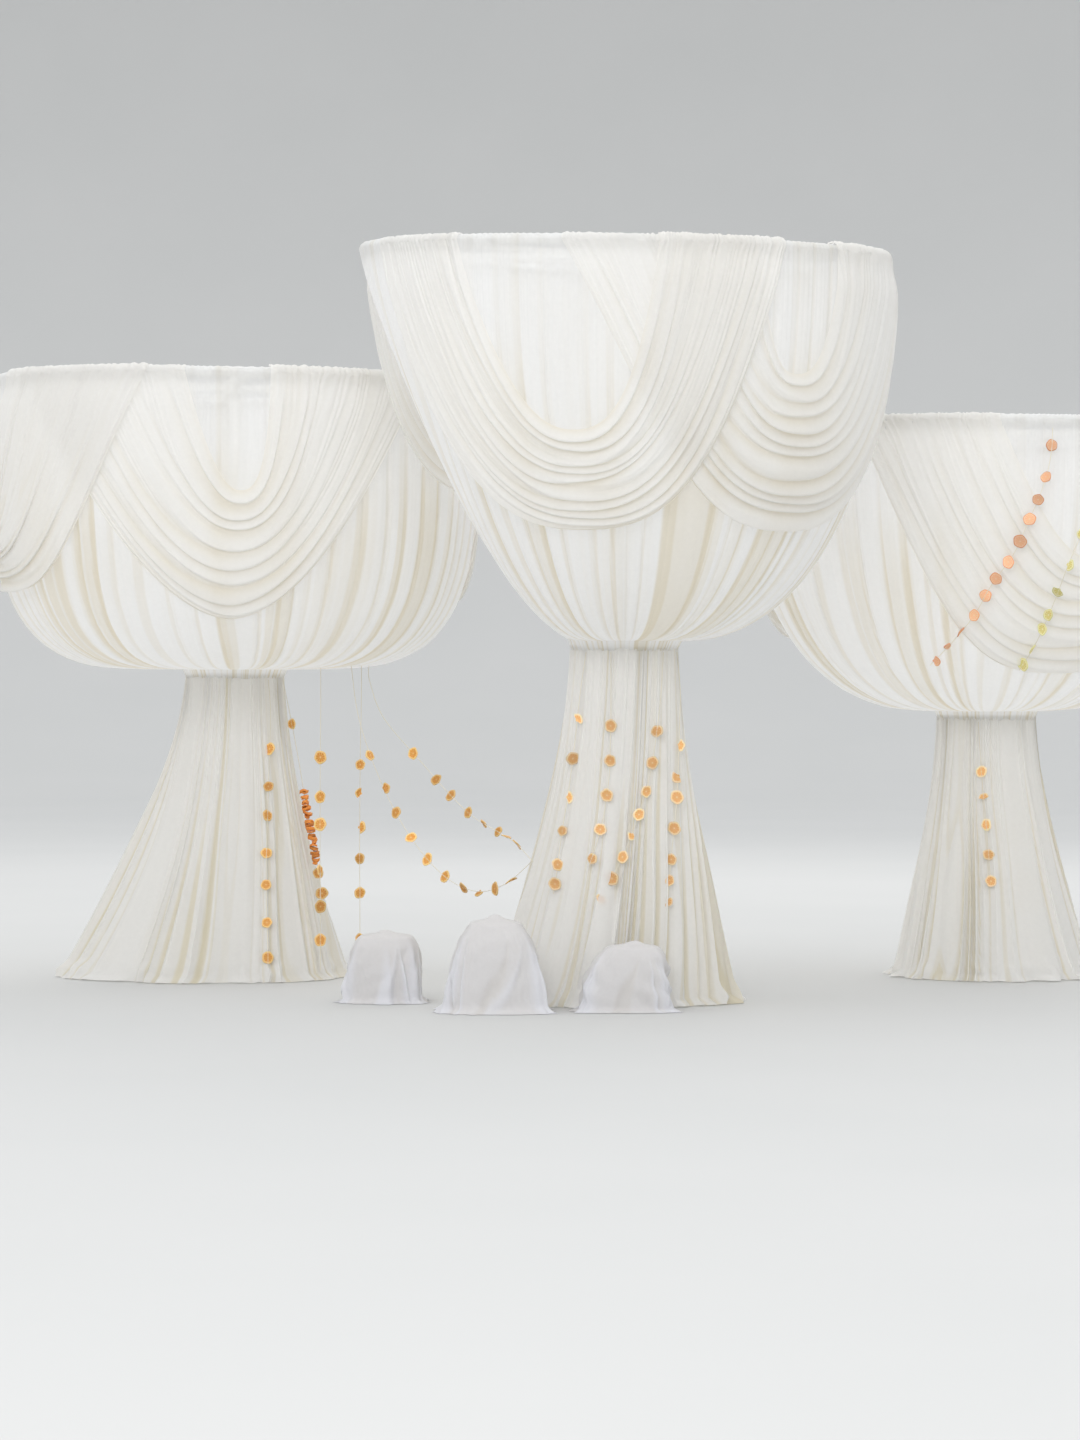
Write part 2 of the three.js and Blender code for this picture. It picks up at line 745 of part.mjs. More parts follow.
// The height of the bowl's nearly flat underside, between its last two rows.
function undersideHeight(stand, x, y) {
  const degrees = THREE.MathUtils.radToDeg(Math.atan2(x, -y));
  const distance = (Math.hypot(x, y) * waistRadius) / flatRadius(waistRadius, degrees);
  const turn = (Math.PI / 2) * ((LINER_ROWS - 1) / LINER_ROWS);
  const rowRadius = waistRadius + (rimRadius - waistRadius) * Math.cos(turn) ** (2 / stand.bowlPower);
  const rowDepth = stand.bowlDepth * Math.sin(turn) ** (2 / stand.bowlPower);
  const share = (distance - waistRadius) / (rowRadius - waistRadius);
  return stand.ringHeight - THREE.MathUtils.lerp(stand.bowlDepth, rowDepth, share);
}

function skirtTie(stand, degrees, row) {
  const z = skirtLevel(stand, row);
  const radius = flatRadius(skirtRadius(stand, degrees, z), degrees);
  return onCircle(radius + GAP + THREAD_RADIUS, degrees, z);
}

function tiePoint(string, stand) {
  if (string.on === 'skirt') {
    return skirtTie(stand, string.tie, 0);
  }
  if (string.on === 'bowl') {
    const radius = flatRadius(rimRadius, string.tie) + GAP + THREAD_RADIUS;
    return settled(stand, onCircle(radius, string.tie, stand.ringHeight), 0);
  }
  const [x, y] = string.tie;
  return new THREE.Vector3(x, y, undersideHeight(stand, x, y) - 2 * GAP);
}

function routePoint(string, stand, stop) {
  if (string.on === 'air') {
    return new THREE.Vector3(...stop);
  }
  const [degrees, level, lift = STRING_LIFT] = stop;
  if (string.on === 'skirt') {
    return onCircle(skirtRadius(stand, degrees, level) + lift, degrees, level);
  }
  const radius = bowlRadius(stand, level, stand.bowlPower) + lift;
  return settled(stand, onCircle(radius, degrees, stand.ringHeight - level), level);
}

function stringRoute(string, stand) {
  const route = [tiePoint(string, stand), ...string.route.map((stop) => routePoint(string, stand, stop))];
  if (string.end) {
    const other = STANDS.find((each) => each.name === string.end.stand);
    const end = skirtTie(other, string.end.angle, string.end.level);
    end.x += other.place[0] - stand.place[0];
    end.y += other.place[1] - stand.place[1];
    route.push(end);
  }
  return route;
}

// A thread's section swells into a flat lens at each slice and into a round one at a stack.
// A slice faces outwards from the mast, square to the thread that runs through it.
function threadSection(path, share, halfWidth, halfThickness) {
  const centre = path.getPointAt(THREE.MathUtils.clamp(share, 0, 1));
  const tangent = path.getTangentAt(THREE.MathUtils.clamp(share, 0, 1));
  const outward = new THREE.Vector3(centre.x, centre.y, 0).normalize();
  const facing = outward.addScaledVector(tangent, -outward.dot(tangent)).normalize();
  const sideways = new THREE.Vector3().crossVectors(tangent, facing);
  const section = [];
  for (let i = 0; i < THREAD_SIDES; i += 1) {
    const turn = (2 * Math.PI * i) / THREAD_SIDES;
    const point = centre.clone().addScaledVector(sideways, halfWidth * Math.cos(turn));
    section.push(point.addScaledVector(facing, halfThickness * Math.sin(turn)));
  }
  return section;
}

function stringGeometry(string, stand) {
  const path = new THREE.CatmullRomCurve3(stringRoute(string, stand));
  const sliceHalf = SLICE_RADIUS / path.getLength();
  const thread = [THREAD_RADIUS, THREAD_RADIUS];
  const slice = [SLICE_RADIUS, SLICE_THICKNESS / 2];
  const stations = [[0, ...thread]];
  for (const share of string.slices) {
    stations.push([share - sliceHalf, ...thread]);
    stations.push([share - sliceHalf / 2, ...slice]);
    stations.push([share + sliceHalf / 2, ...slice]);
    stations.push([share + sliceHalf, ...thread]);
  }
  if (string.stack) {
    const [from, to] = string.stack;
    stations.push([from, ...thread], [from + sliceHalf / 4, STACK_RADIUS, STACK_RADIUS]);
    stations.push([to - sliceHalf / 4, STACK_RADIUS, STACK_RADIUS], [to, ...thread]);
  }
  if (Math.max(...string.slices) + sliceHalf < THREAD_END_SHARE) {
    stations.push([1, ...thread]);
  }
  stations.sort((a, b) => a[0] - b[0]);
  return barBody(stations.map((station) => threadSection(path, ...station)));
}

// The assembly

for (const stand of STANDS) {
  const group = new THREE.Group();
  group.position.set(stand.place[0], stand.place[1], 0);
  canopy.add(group);
  addPiece(group, `${stand.name}_base_plate`, basePlateGeometry(), plateMaterial);
  addPiece(group, `${stand.name}_mast`, mastGeometry(stand), steelMaterial);
  addPiece(group, `${stand.name}_hub_arms`, hubArmsGeometry(stand), steelMaterial);
  addPiece(group, `${stand.name}_ring`, ringGeometry(stand), steelMaterial);
  addPiece(group, `${stand.name}_waist_hoop`, waistHoopGeometry(stand), steelMaterial);
  addPiece(group, `${stand.name}_liner`, linerGeometry(stand, bowlPart), linerMaterial);
  addPiece(group, `${stand.name}_liner_gather`, linerGeometry(stand, gatherPart), linerMaterial);
  addPiece(group, `${stand.name}_skirt`, skirtGeometry(stand), skirtMaterial);
  stand.swags.forEach((swag, index) => {
    addPiece(group, `${stand.name}_swag_${index + 1}`, swagGeometry(stand, swag), swagMaterial);
  });
  for (const string of STRINGS.filter((each) => each.stand === stand.name)) {
    addPiece(group, string.name, stringGeometry(string, stand), sliceMaterial);
  }
}

for (const cover of WEIGHT_COVERS) {
  addPiece(canopy, cover.name, coverGeometry(cover), coverMaterial);
}

export default canopy;
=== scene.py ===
# %% [markdown]
# A draped canopy of three free-standing stands, dressed in Blender. On the real thing each stand
# is a steel ring on a mast. A sheer liner hangs from the ring as a bowl, five swags hang round
# it, and a skirt falls from the waist to the ground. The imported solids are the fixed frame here.
# Each cloth takes the place of the plain solid that stands for it, so the shapes stay in step.

# %% Load the frame
import math

import bpy
import numpy as np
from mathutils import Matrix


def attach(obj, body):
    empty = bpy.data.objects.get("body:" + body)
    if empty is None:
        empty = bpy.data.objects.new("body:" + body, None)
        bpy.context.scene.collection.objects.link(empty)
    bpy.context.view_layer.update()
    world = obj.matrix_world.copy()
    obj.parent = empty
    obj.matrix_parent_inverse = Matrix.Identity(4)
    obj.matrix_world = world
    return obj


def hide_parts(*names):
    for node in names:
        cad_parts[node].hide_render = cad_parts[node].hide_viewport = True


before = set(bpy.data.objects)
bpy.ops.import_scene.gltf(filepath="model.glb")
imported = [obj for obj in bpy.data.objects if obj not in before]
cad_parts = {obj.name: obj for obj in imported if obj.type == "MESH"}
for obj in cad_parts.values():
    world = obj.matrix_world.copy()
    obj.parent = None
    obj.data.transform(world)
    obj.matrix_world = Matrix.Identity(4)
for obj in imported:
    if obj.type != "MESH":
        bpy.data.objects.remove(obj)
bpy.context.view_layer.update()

# %% [markdown]
# The numbers below are the stands' own: lengths in metres, angles in degrees. An angle runs from
# a stand's front (0) over its right side (90) to its back (180). They are the same numbers that
# the solids are made from, so cloth and frame fit.
#
# power is the roundness of the bowl's wall, and tight the angle where the wall is pulled in and
# its roundness there. rise is how far the ring is out of level to the right and to the back, foot
# the skirt's radius on the ground at some angles, and sweep how far its folds turn as they fall.
# A swag is six numbers: the hem's left end, the open U's left and right edges, the hem's right
# end, and how far the U and the hem hang below the ring. Three more say how roundly the hem and
# the U sag and how far both lean to the right. shoulder_fold is how deep the rolls stay there.

# %% Sizes that the stands share
RING_RADIUS = 1.040
SLEEVE_RADIUS = 0.0199
RIM_RADIUS = RING_RADIUS + SLEEVE_RADIUS
WAIST_RADIUS = 0.2123
SKIRT_BAND_RADIUS = 0.2156
WAIST_COLLAR_HEIGHT = 0.040
SKIRT_TOP_DROP = 0.006
SKIRT_FLARE_POWER = 1.5
SWAG_LIFT_UNDER = 0.011
SWAG_LIFT_OVER = 0.033
SWAG_SAG = (2.6, 2.6, 0)
DETAIL = 1.0

STANDS = {
    "centre": dict(
        place=(0.0, 0.0), ring=3.005, bowl=1.550, power=2.2, tight=(-95, 1.2), rise=(-0.022, 0.04),
        foot=[(-115, 0.580), (-65, 0.430), (-35, 0.345), (2, 0.245), (45, 0.300), (90, 0.450), (150, 0.470)],
        swags=[
            (-65, -38, 6, 34, 0.735, 1.120, 2.6, 2.4, 4),
            (-14, 27, 49, 102, 0.500, 1.110),
            (80, 104, 131, 155, 0.600, 1.020),
            (131, 155, 182, 206, 0.600, 1.020),
            (182, 206, 232, 256, 0.560, 0.940),
        ],
        sweep=-26, shoulder_fold=0.1,
    ),
    "left": dict(
        place=(-1.670, 1.460), ring=2.570, bowl=1.230, power=3.8, tight=(0, 3.8), rise=(-0.014, 0.0),
        foot=[(-90, 0.760), (-40, 0.560), (0, 0.440), (45, 0.470), (90, 0.490), (140, 0.560)],
        swags=[
            (-50, -7, 12, 50, 0.490, 1.020, 1.8, 2.4, 3),
            (72, 96, 127, 151, 0.520, 0.940),
            (127, 151, 182, 206, 0.520, 0.940),
            (182, 206, 236, 260, 0.520, 0.940),
            (236, 262, 300, 344, 0.560, 0.900, 3.6, 2.6, 0),
        ],
        sweep=-12, shoulder_fold=0.16,
    ),
    "right": dict(
        place=(1.620, 1.530), ring=2.378, bowl=1.220, power=2.4, tight=(0, 2.4), rise=(-0.006, 0.0),
        foot=[(-90, 0.400), (-30, 0.420), (40, 0.470), (90, 0.450), (150, 0.480)],
        swags=[
            (-37, -3, 44, 69, 0.580, 1.050, 2.6, 2.0, 0),
            (44, 68, 98, 122, 0.540, 0.920),
            (98, 122, 152, 176, 0.540, 0.920),
            (152, 176, 206, 230, 0.540, 0.920),
            (206, 230, 260, 284, 0.500, 0.900),
        ],
        sweep=8, shoulder_fold=0.45,
    ),
}
print("stands:", ", ".join(STANDS), "at detail", DETAIL)

# %% [markdown]
# Every piece ends as an object in the scene. These helpers make the object, build a mesh from
# points and faces, and close a body made of rounds of points, such as a slice or a tube.

# %% Helpers for pieces
def place_piece(name, data):
    piece = bpy.data.objects.new(name, data)
    bpy.context.scene.collection.objects.link(piece)
    return piece


def mesh_piece(name, points, faces):
    mesh = bpy.data.meshes.new(name)
    mesh.from_pydata(np.reshape(points, (-1, 3)).tolist(), [], faces)
    return place_piece(name, mesh)


def keep_values(mesh, name, values):
    """Keeps one number for each point, which a material can read as an attribute."""
    layer = mesh.attributes.new(name, "FLOAT", "POINT")
    layer.data.foreach_set("value", np.asarray(values).astype(np.float32).ravel())


def round_faces(rounds, sides, start=0, first_cap=True):
    """Faces of a body made of rounds of points: the strips between them, then the end caps."""
    faces = []
    for low in range(start, start + (rounds - 1) * sides, sides):
        for j in range(sides):
            k = (j + 1) % sides
            faces.append((low + j, low + k, low + sides + k, low + sides + j))
    if first_cap:
        faces.append(tuple(reversed(range(start, start + sides))))
    faces.append(tuple(range(start + (rounds - 1) * sides, start + rounds * sides)))
    return faces


print("piece helpers ready")

# %% [markdown]
# The camera stands about 17 m in front, a little left of the middle, at chest height, and looks
# almost level through a long lens. From so far off the rings show as nearly flat lines.

# %% Camera
CAMERA_PLACE = (-0.338, -16.9, 1.36)
CAMERA_PITCH = 89.25
CAMERA_LENS = 105
CAMERA_REACH = 300

camera_data = bpy.data.cameras.new("camera")
camera_data.lens = CAMERA_LENS
camera_data.clip_end = CAMERA_REACH
camera = place_piece("camera", camera_data)
camera.location = CAMERA_PLACE
camera.rotation_euler = (math.radians(CAMERA_PITCH), 0, 0)
bpy.context.scene.camera = camera
print("camera at", tuple(camera.location), "lens", camera_data.lens)

# %% [markdown]
# Places on a stand are given by an angle, a radius and a height. The bowl's wall follows a
# superellipse from the rim to the waist, and the ring is a touch out of level, which fades away
# towards the waist. The skirt flares from its band to the ground, further out on some sides.

# %% Places on a stand
def on_circle(radius, degrees, height):
    angle = np.radians(degrees)
    return np.stack([radius * np.sin(angle), -radius * np.cos(angle), height + 0 * angle], axis=-1)


def on_stand(stand, points):
    return points + np.array([stand["place"][0], stand["place"][1], 0.0])


def bowl_radius(stand, depth):
    share = np.clip(depth / stand["bowl"], 0, 1)
    return WAIST_RADIUS + (RIM_RADIUS - WAIST_RADIUS) * (1 - share ** stand["power"]) ** (1 / stand["power"])


def settled(stand, points, depth):
    """Tilts points with the ring that is out of level, less and less towards the waist."""
    rise = stand["rise"][0] * points[..., 0] + stand["rise"][1] * points[..., 1]
    points[..., 2] += rise * (1 - np.clip(depth / stand["bowl"], 0, 1))
    return points


def waist_height(stand):
    return stand["ring"] - stand["bowl"]


def skirt_top(stand):
    return waist_height(stand) - SKIRT_TOP_DROP


def foot_radius(stand, degrees):
    """The skirt's radius on the ground, eased from one given angle to the next."""
    angles, radii = np.array(stand["foot"] + [(stand["foot"][0][0] + 360, stand["foot"][0][1])]).T
    turned = (degrees - angles[0]) % 360 + angles[0]
    index = np.clip(np.searchsorted(angles, turned, side="right") - 1, 0, len(angles) - 2)
    between = (turned - angles[index]) / (angles[index + 1] - angles[index])
    return radii[index] + (radii[index + 1] - radii[index]) * (1 - np.cos(np.pi * between)) / 2


def skirt_radius(stand, degrees, height):
    share = np.clip(1 - height / skirt_top(stand), 0, 1)
    return SKIRT_BAND_RADIUS + (foot_radius(stand, degrees) - SKIRT_BAND_RADIUS) * share ** SKIRT_FLARE_POWER


for name, stand in STANDS.items():
    front = foot_radius(stand, np.array([0.0]))[0]
    print(f"{name}: waist at {waist_height(stand):.3f} m, front foot radius {front:.3f} m")

# %% [markdown]
# No fold of a real cloth is like the next. These helpers give values that change smoothly but
# without a pattern, always the same ones for the same seed: a wavy line, a field over two
# directions, and stripes. They bend the folds, crumple the cloth and lay stripes of painted shade.

# %% Uneven values
def smooth(values, low, high):
    """0 below low, 1 above high, and eased between them."""
    share = np.clip((values - low) / (high - low), 0, 1)
    return share * share * (3 - 2 * share)


def waves(phase):
    """Rows of folds as a wave between 0 and 1, one for each whole number of phase."""
    return 0.5 - 0.5 * np.cos(2 * np.pi * phase)


def ripple(places, turns, size, seed):
    """A smooth irregular wave made of sines: places run from 0 to 1."""
    draw = np.random.default_rng(seed)
    wave = np.zeros_like(places)
    for turn in turns:
        wave += size / math.sqrt(len(turns)) * np.sin(2 * np.pi * (turn * places + draw.random()))
    return wave


def drift(first, second, count, seed, whole=0):
    """A smooth irregular field over two directions, between about -1 and 1.

    With whole given, it repeats after one turn of the first direction, with up to that many waves.
    """
    draw = np.random.default_rng(seed)
    field = np.zeros(np.broadcast(first, second).shape)
    for _ in range(count):
        one, two = draw.uniform(-2.5, 2.5, 2)
        one = draw.integers(1, whole + 1) * draw.choice([-1, 1]) if whole else one
        field += np.sin(2 * np.pi * (one * first + two * second + draw.random()))
    return field / math.sqrt(count)


def stripes(places, count, width, seed):
    """Soft stripes of uneven width and strength round one turn: 0 between them, up to 1 inside."""
    draw = np.random.default_rng(seed)
    field = np.zeros_like(places)
    for middle in draw.random(count):
        half = width * draw.uniform(0.3, 1.0)
        apart = np.abs((places - middle + 0.5) % 1 - 0.5)
        field = np.maximum(field, draw.uniform(0.3, 1.0) * (1 - smooth(apart, half * 0.7, half)))
    return field


print("uneven values ready")

# %% [markdown]
# A hanging cloth is a surface with hardly any thickness, so each one here is a grid of points.
# The grid becomes a mesh, and keeps for each point how much light is painted there, lower where
# shade is painted in creases and pleat valleys, so that the material can darken it. The size of
# the cloth laid flat is measured on the same grid.

# %% Grids into cloths
def grid_mesh(name, points, shown, ring_closed=False):
    rows, columns = points.shape[:2]
    index = np.arange(rows * columns).reshape(rows, columns)
    if ring_closed:
        index = np.concatenate([index, index[:, :1]], axis=1)
    faces = np.stack([index[:-1, :-1], index[:-1, 1:], index[1:, 1:], index[1:, :-1]], axis=-1)
    piece = mesh_piece(name, points, faces.reshape(-1, 4).tolist())
    piece.data.shade_smooth()
    # Painted light for the material: 1 where a fold is lit, lower where shade is painted in it.
    keep_values(piece.data, "painted_fold_light", np.clip(shown, 0, 1))
    return piece


def outward_normals(points, ring_closed=False):
    """Unit normals of a grid round the mast, on the side that looks away from it."""
    if ring_closed:
        points = np.concatenate([points[:, -1:], points, points[:, :1]], axis=1)
        return outward_normals(points)[:, 1:-1]
    normals = np.cross(np.gradient(points, axis=0), np.gradient(points, axis=1))
    normals /= np.linalg.norm(normals, axis=-1, keepdims=True) + 1e-12
    row, column = points.shape[0] // 2, points.shape[1] // 2
    away = points[row, column] * np.array([1, 1, 0])
    return -normals if np.dot(normals[row, column], away) < 0 else normals


def developed_size(points, ring_closed):
    """Mean length along the columns, widest length across the rows, and area of a grid."""
    grid = np.concatenate([points, points[:, :1]], axis=1) if ring_closed else points
    down = np.linalg.norm(np.diff(grid, axis=0), axis=-1).sum(axis=0).mean()
    widest = np.linalg.norm(np.diff(grid, axis=1), axis=-1).sum(axis=1).max()
    one = np.cross(grid[1:, :-1] - grid[:-1, :-1], grid[:-1, 1:] - grid[:-1, :-1])
    two = np.cross(grid[1:, :-1] - grid[1:, 1:], grid[:-1, 1:] - grid[1:, 1:])
    area = (np.linalg.norm(one, axis=-1) + np.linalg.norm(two, axis=-1)).sum() / 2
    return down, widest, area


cloths = {}
flat_sizes = {}


def hang_cloth(name, points, shown, stand=None, ring_closed=True):
    """Makes a cloth, and keeps it and its flat size under the name of its solid."""
    flat_sizes[name] = developed_size(points, ring_closed)
    placed = on_stand(stand, points) if stand else points
    cloths[name] = grid_mesh(name + "_cloth", placed, shown, ring_closed)
    down, across, area = flat_sizes[name]
    print(f"{name}: {down:.2f} m long, {across:.2f} m wide, {area:.2f} m2")


print("cloth helpers ready")

# %% [markdown]
# Strings of dried fruit slices hang from the cloth. Each thread is a curve with a small bevel, and
# its line is the real line of the string. A route goes through the same places as the solid
# string. On a skirt it lists (angle, height), with a third number where the thread stands further
# off the cloth than usual. On a bowl it lists (angle, depth below the ring, distance off the
# cloth), and in the air plain points. tie is where the thread starts: an angle, or a place under
# the bowl. end is where it is tied to another stand's skirt: stand, angle and row of facets.
# slices are shares of the thread's length, and stack is the stretch where slices sit close.

# %% The strings' routes
STRINGS = {
    "left_string_1": dict(
        stand="left", on="skirt", tie=45,
        route=[(43, 1.150), (38, 0.980), (33, 0.800), (29, 0.640), (26, 0.480), (24, 0.320), (23, 0.170),
               (22, 0.060)],
        slices=[0.24, 0.37, 0.47, 0.6, 0.71, 0.84, 0.96],
    ),
    "left_string_2": dict(
        stand="left", on="skirt", tie=75,
        route=[(75, 1.120, 0.024), (75, 0.940, 0.033), (74, 0.780, 0.034), (73, 0.620, 0.034),
               (72, 0.460, 0.030), (71, 0.330, 0.024)],
        slices=[0.2, 0.87, 0.96], stack=(0.5, 0.82),
    ),
    "left_string_3": dict(
        stand="left", on="air", tie=(0.392, -0.352),
        route=[(0.392, -0.354, 1.150), (0.390, -0.357, 0.950), (0.389, -0.360, 0.750), (0.389, -0.361, 0.550),
               (0.390, -0.362, 0.350), (0.390, -0.362, 0.150), (0.390, -0.362, 0.050)],
        slices=[0.3, 0.43, 0.52, 0.67, 0.79, 0.9],
    ),
    "left_string_4": dict(
        stand="left", on="air", tie=(0.562, -0.232),
        route=[(0.560, -0.232, 1.150), (0.556, -0.230, 0.950), (0.554, -0.230, 0.750), (0.553, -0.230, 0.550),
               (0.554, -0.230, 0.350), (0.554, -0.230, 0.130)],
        slices=[0.35, 0.45, 0.57, 0.68, 0.8, 0.96],
    ),
    "link_string": dict(
        stand="left", on="air", tie=(0.520, -0.300), end=("centre", -105, 3),
        route=[(0.548, -0.330, 1.160), (0.600, -0.385, 0.990), (0.668, -0.460, 0.830), (0.745, -0.550, 0.690),
               (0.830, -0.660, 0.575), (0.915, -0.780, 0.490), (1.000, -0.905, 0.440), (1.080, -1.030, 0.425),
               (1.150, -1.170, 0.445), (1.220, -1.280, 0.490)],
        slices=[0.22, 0.31, 0.38, 0.46, 0.54, 0.62, 0.7, 0.77, 0.85, 0.92],
    ),
    "link_string_2": dict(
        stand="left", on="air", tie=(0.590, -0.150), end=("centre", -97, 3),
        route=[(0.594, -0.156, 1.290), (0.660, -0.260, 1.130), (0.833, -0.460, 0.938), (0.960, -0.670, 0.806),
               (1.061, -0.860, 0.722), (1.167, -1.060, 0.668), (1.235, -1.220, 0.630)],
        slices=[0.3, 0.42, 0.5, 0.6, 0.68, 0.76, 0.81, 0.88],
    ),
    "centre_string_1": dict(
        stand="centre", on="skirt", tie=-45,
        route=[(-48, 1.260), (-51, 1.080), (-53, 0.910), (-55, 0.750), (-56, 0.600), (-56, 0.450)],
        slices=[0.28, 0.44, 0.6, 0.74, 0.88, 0.96],
    ),
    "centre_string_2": dict(
        stand="centre", on="skirt", tie=45,
        route=[(38, 1.250), (31, 1.070), (24, 0.920), (14, 0.780), (2, 0.640), (-12, 0.510), (-22, 0.400)],
        slices=[0.3, 0.42, 0.53, 0.62, 0.7, 0.79, 0.88, 0.96],
    ),
    "centre_string_3": dict(
        stand="centre", on="skirt", tie=-15,
        route=[(-14, 1.260), (-14, 1.080), (-15, 0.920), (-19, 0.770), (-25, 0.640), (-30, 0.560)],
        slices=[0.34, 0.5, 0.66, 0.82, 0.96],
    ),
    "centre_string_4": dict(
        stand="centre", on="skirt", tie=75,
        route=[(70, 1.250), (63, 1.100), (58, 0.950), (53, 0.800), (46, 0.650), (40, 0.500), (36, 0.380)],
        slices=[0.36, 0.48, 0.56, 0.68, 0.8, 0.88, 0.96],
    ),
    "right_string_1": dict(
        stand="right", on="bowl", tie=9,
        route=[(8, 0.150, 0.030), (6, 0.290, 0.048), (3, 0.430, 0.050), (0, 0.560, 0.050), (-5, 0.690, 0.050),
               (-9, 0.810, 0.050), (-15, 0.920, 0.050), (-23, 1.020, 0.050)],
        slices=[0.09, 0.2, 0.28, 0.35, 0.43, 0.51, 0.58, 0.65, 0.73, 0.81, 0.88, 0.97],
    ),
    "right_string_2": dict(
        stand="right", on="bowl", tie=21,
        route=[(20, 0.160, 0.016), (18, 0.310, 0.020), (16, 0.450, 0.040), (13, 0.590, 0.052),
               (11, 0.720, 0.052), (9, 0.840, 0.052), (7, 0.940, 0.052), (4, 1.040, 0.052)],
        slices=[0.14, 0.3, 0.42, 0.54, 0.64, 0.74, 0.8, 0.89, 0.97],
    ),
    "right_string_3": dict(
        stand="right", on="skirt", tie=-15,
        route=[(-12, 0.970), (-9, 0.820), (-6, 0.680), (-4, 0.540), (-2, 0.400)],
        slices=[0.3, 0.46, 0.62, 0.8, 0.96],
    ),
}
print("strings:", len(STRINGS), "with slices:", sum(len(string["slices"]) for string in STRINGS.values()))

# %% [markdown]
# A string is tied to the cloth itself, so its first point has to lie on the plain solid, which
# is made of flat facets: 24 round a stand, 6 down a bowl and 5 down a skirt. These helpers work
# out where a facet lies, and so the thread leaves its solid without a gap.

# %% Where the strings are tied
THREAD_DIAMETER = 0.003
TIE_GAP = 0.0018
TIE_GAP_BELOW = 0.0006
SKIRT_TIE_DROP = 0.004
STRING_LIFT = 0.014
FLAT_SIDES = 24
LINER_ROWS_OF_SOLID = 6
SKIRT_ROWS_OF_SOLID = 5


def flat_radius(radius, degrees):
    """How far from the mast a round of flat segments lies at an angle."""
    half = 180 / FLAT_SIDES
    off = math.radians(degrees % (2 * half) - half)
    return radius * math.cos(math.radians(half)) / math.cos(off)


def skirt_place(stand, degrees, height):
    return float(skirt_radius(stand, np.array([degrees * 1.0]), height)[0])


def skirt_tie(stand, degrees, row):
    band_foot = waist_height(stand) - WAIST_COLLAR_HEIGHT - SKIRT_TIE_DROP
    height = band_foot * (1 - row / SKIRT_ROWS_OF_SOLID)
    radius = flat_radius(skirt_place(stand, degrees, height), degrees) + TIE_GAP
    return on_circle(radius, degrees * 1.0, height)


def underside_height(stand, x, y):
    """Height of the solid bowl's lowest row of facets over a place near the waist."""
    degrees = math.degrees(math.atan2(x, -y))
    distance = math.hypot(x, y) * WAIST_RADIUS / flat_radius(WAIST_RADIUS, degrees)
    turn = math.pi / 2 * (LINER_ROWS_OF_SOLID - 1) / LINER_ROWS_OF_SOLID
    row_radius = WAIST_RADIUS + (RIM_RADIUS - WAIST_RADIUS) * math.cos(turn) ** (2 / stand["power"])
    row_depth = stand["bowl"] * math.sin(turn) ** (2 / stand["power"])
    share = (distance - WAIST_RADIUS) / (row_radius - WAIST_RADIUS)
    return stand["ring"] - (stand["bowl"] + (row_depth - stand["bowl"]) * share)


print(f"left bowl's underside 0.5 m from the mast: {underside_height(STANDS['left'], 0.3, -0.4):.3f} m")

# %% [markdown]
# Between its places a slack thread hangs in one easy line, so the route is turned into a curve
# that passes through every place with eased corners.

# %% The strings' lines
LINE_STEPS = 16


def skirt_route(stand, string):
    points = [skirt_tie(stand, string["tie"], 0)]
    for degrees, height, *lift in string["route"]:
        radius = skirt_place(stand, degrees, height) + (lift or [STRING_LIFT])[0]
        points.append(on_circle(radius, degrees * 1.0, height))
    return points


def bowl_route(stand, string):
    radius = flat_radius(RIM_RADIUS, string["tie"]) + TIE_GAP
    points = [settled(stand, on_circle(radius, string["tie"] * 1.0, stand["ring"]), 0.0)]
    for degrees, depth, lift in string["route"]:
        radius = float(bowl_radius(stand, depth)) + lift
        points.append(settled(stand, on_circle(radius, degrees * 1.0, stand["ring"] - depth), depth))
    return points


def air_route(stand, string):
    x, y = string["tie"]
    tied = np.array([x, y, underside_height(stand, x, y) - TIE_GAP_BELOW])
    return [tied] + [np.array(point) for point in string["route"]]


ROUTES = {"skirt": skirt_route, "bowl": bowl_route, "air": air_route}


def route_points(string):
    stand = STANDS[string["stand"]]
    points = [on_stand(stand, point) for point in ROUTES[string["on"]](stand, string)]
    if "end" in string:
        other, degrees, row = string["end"]
        points.append(on_stand(STANDS[other], skirt_tie(STANDS[other], degrees, row)))
    return np.array(points)


def smooth_line(stops):
    """A line through the stops with eased corners."""
    padded = np.concatenate([[2 * stops[0] - stops[1]], stops, [2 * stops[-1] - stops[-2]]])
    line = []
    for i in range(1, len(padded) - 2):
        before, start, end, after = padded[i - 1:i + 3]
        for t in np.linspace(0, 1, LINE_STEPS, endpoint=False):
            line.append(0.5 * (2 * start + (end - before) * t
                               + (2 * before - 5 * start + 4 * end - after) * t ** 2
                               + (3 * start - before - 3 * end + after) * t ** 3))
    line.append(stops[-1])
    return np.array(line)


def line_length(line):
    return float(np.linalg.norm(np.diff(line, axis=0), axis=-1).sum())


STRING_LINES = {name: smooth_line(route_points(string)) for name, string in STRINGS.items()}
for name, line in STRING_LINES.items():
    print(f"{name}: {line_length(line):.3f} m")

# %% [markdown]
# A thread could be a mesh tube, but a curve with a small round bevel is simpler: its points are
# the line itself, and one number gives its thickness.

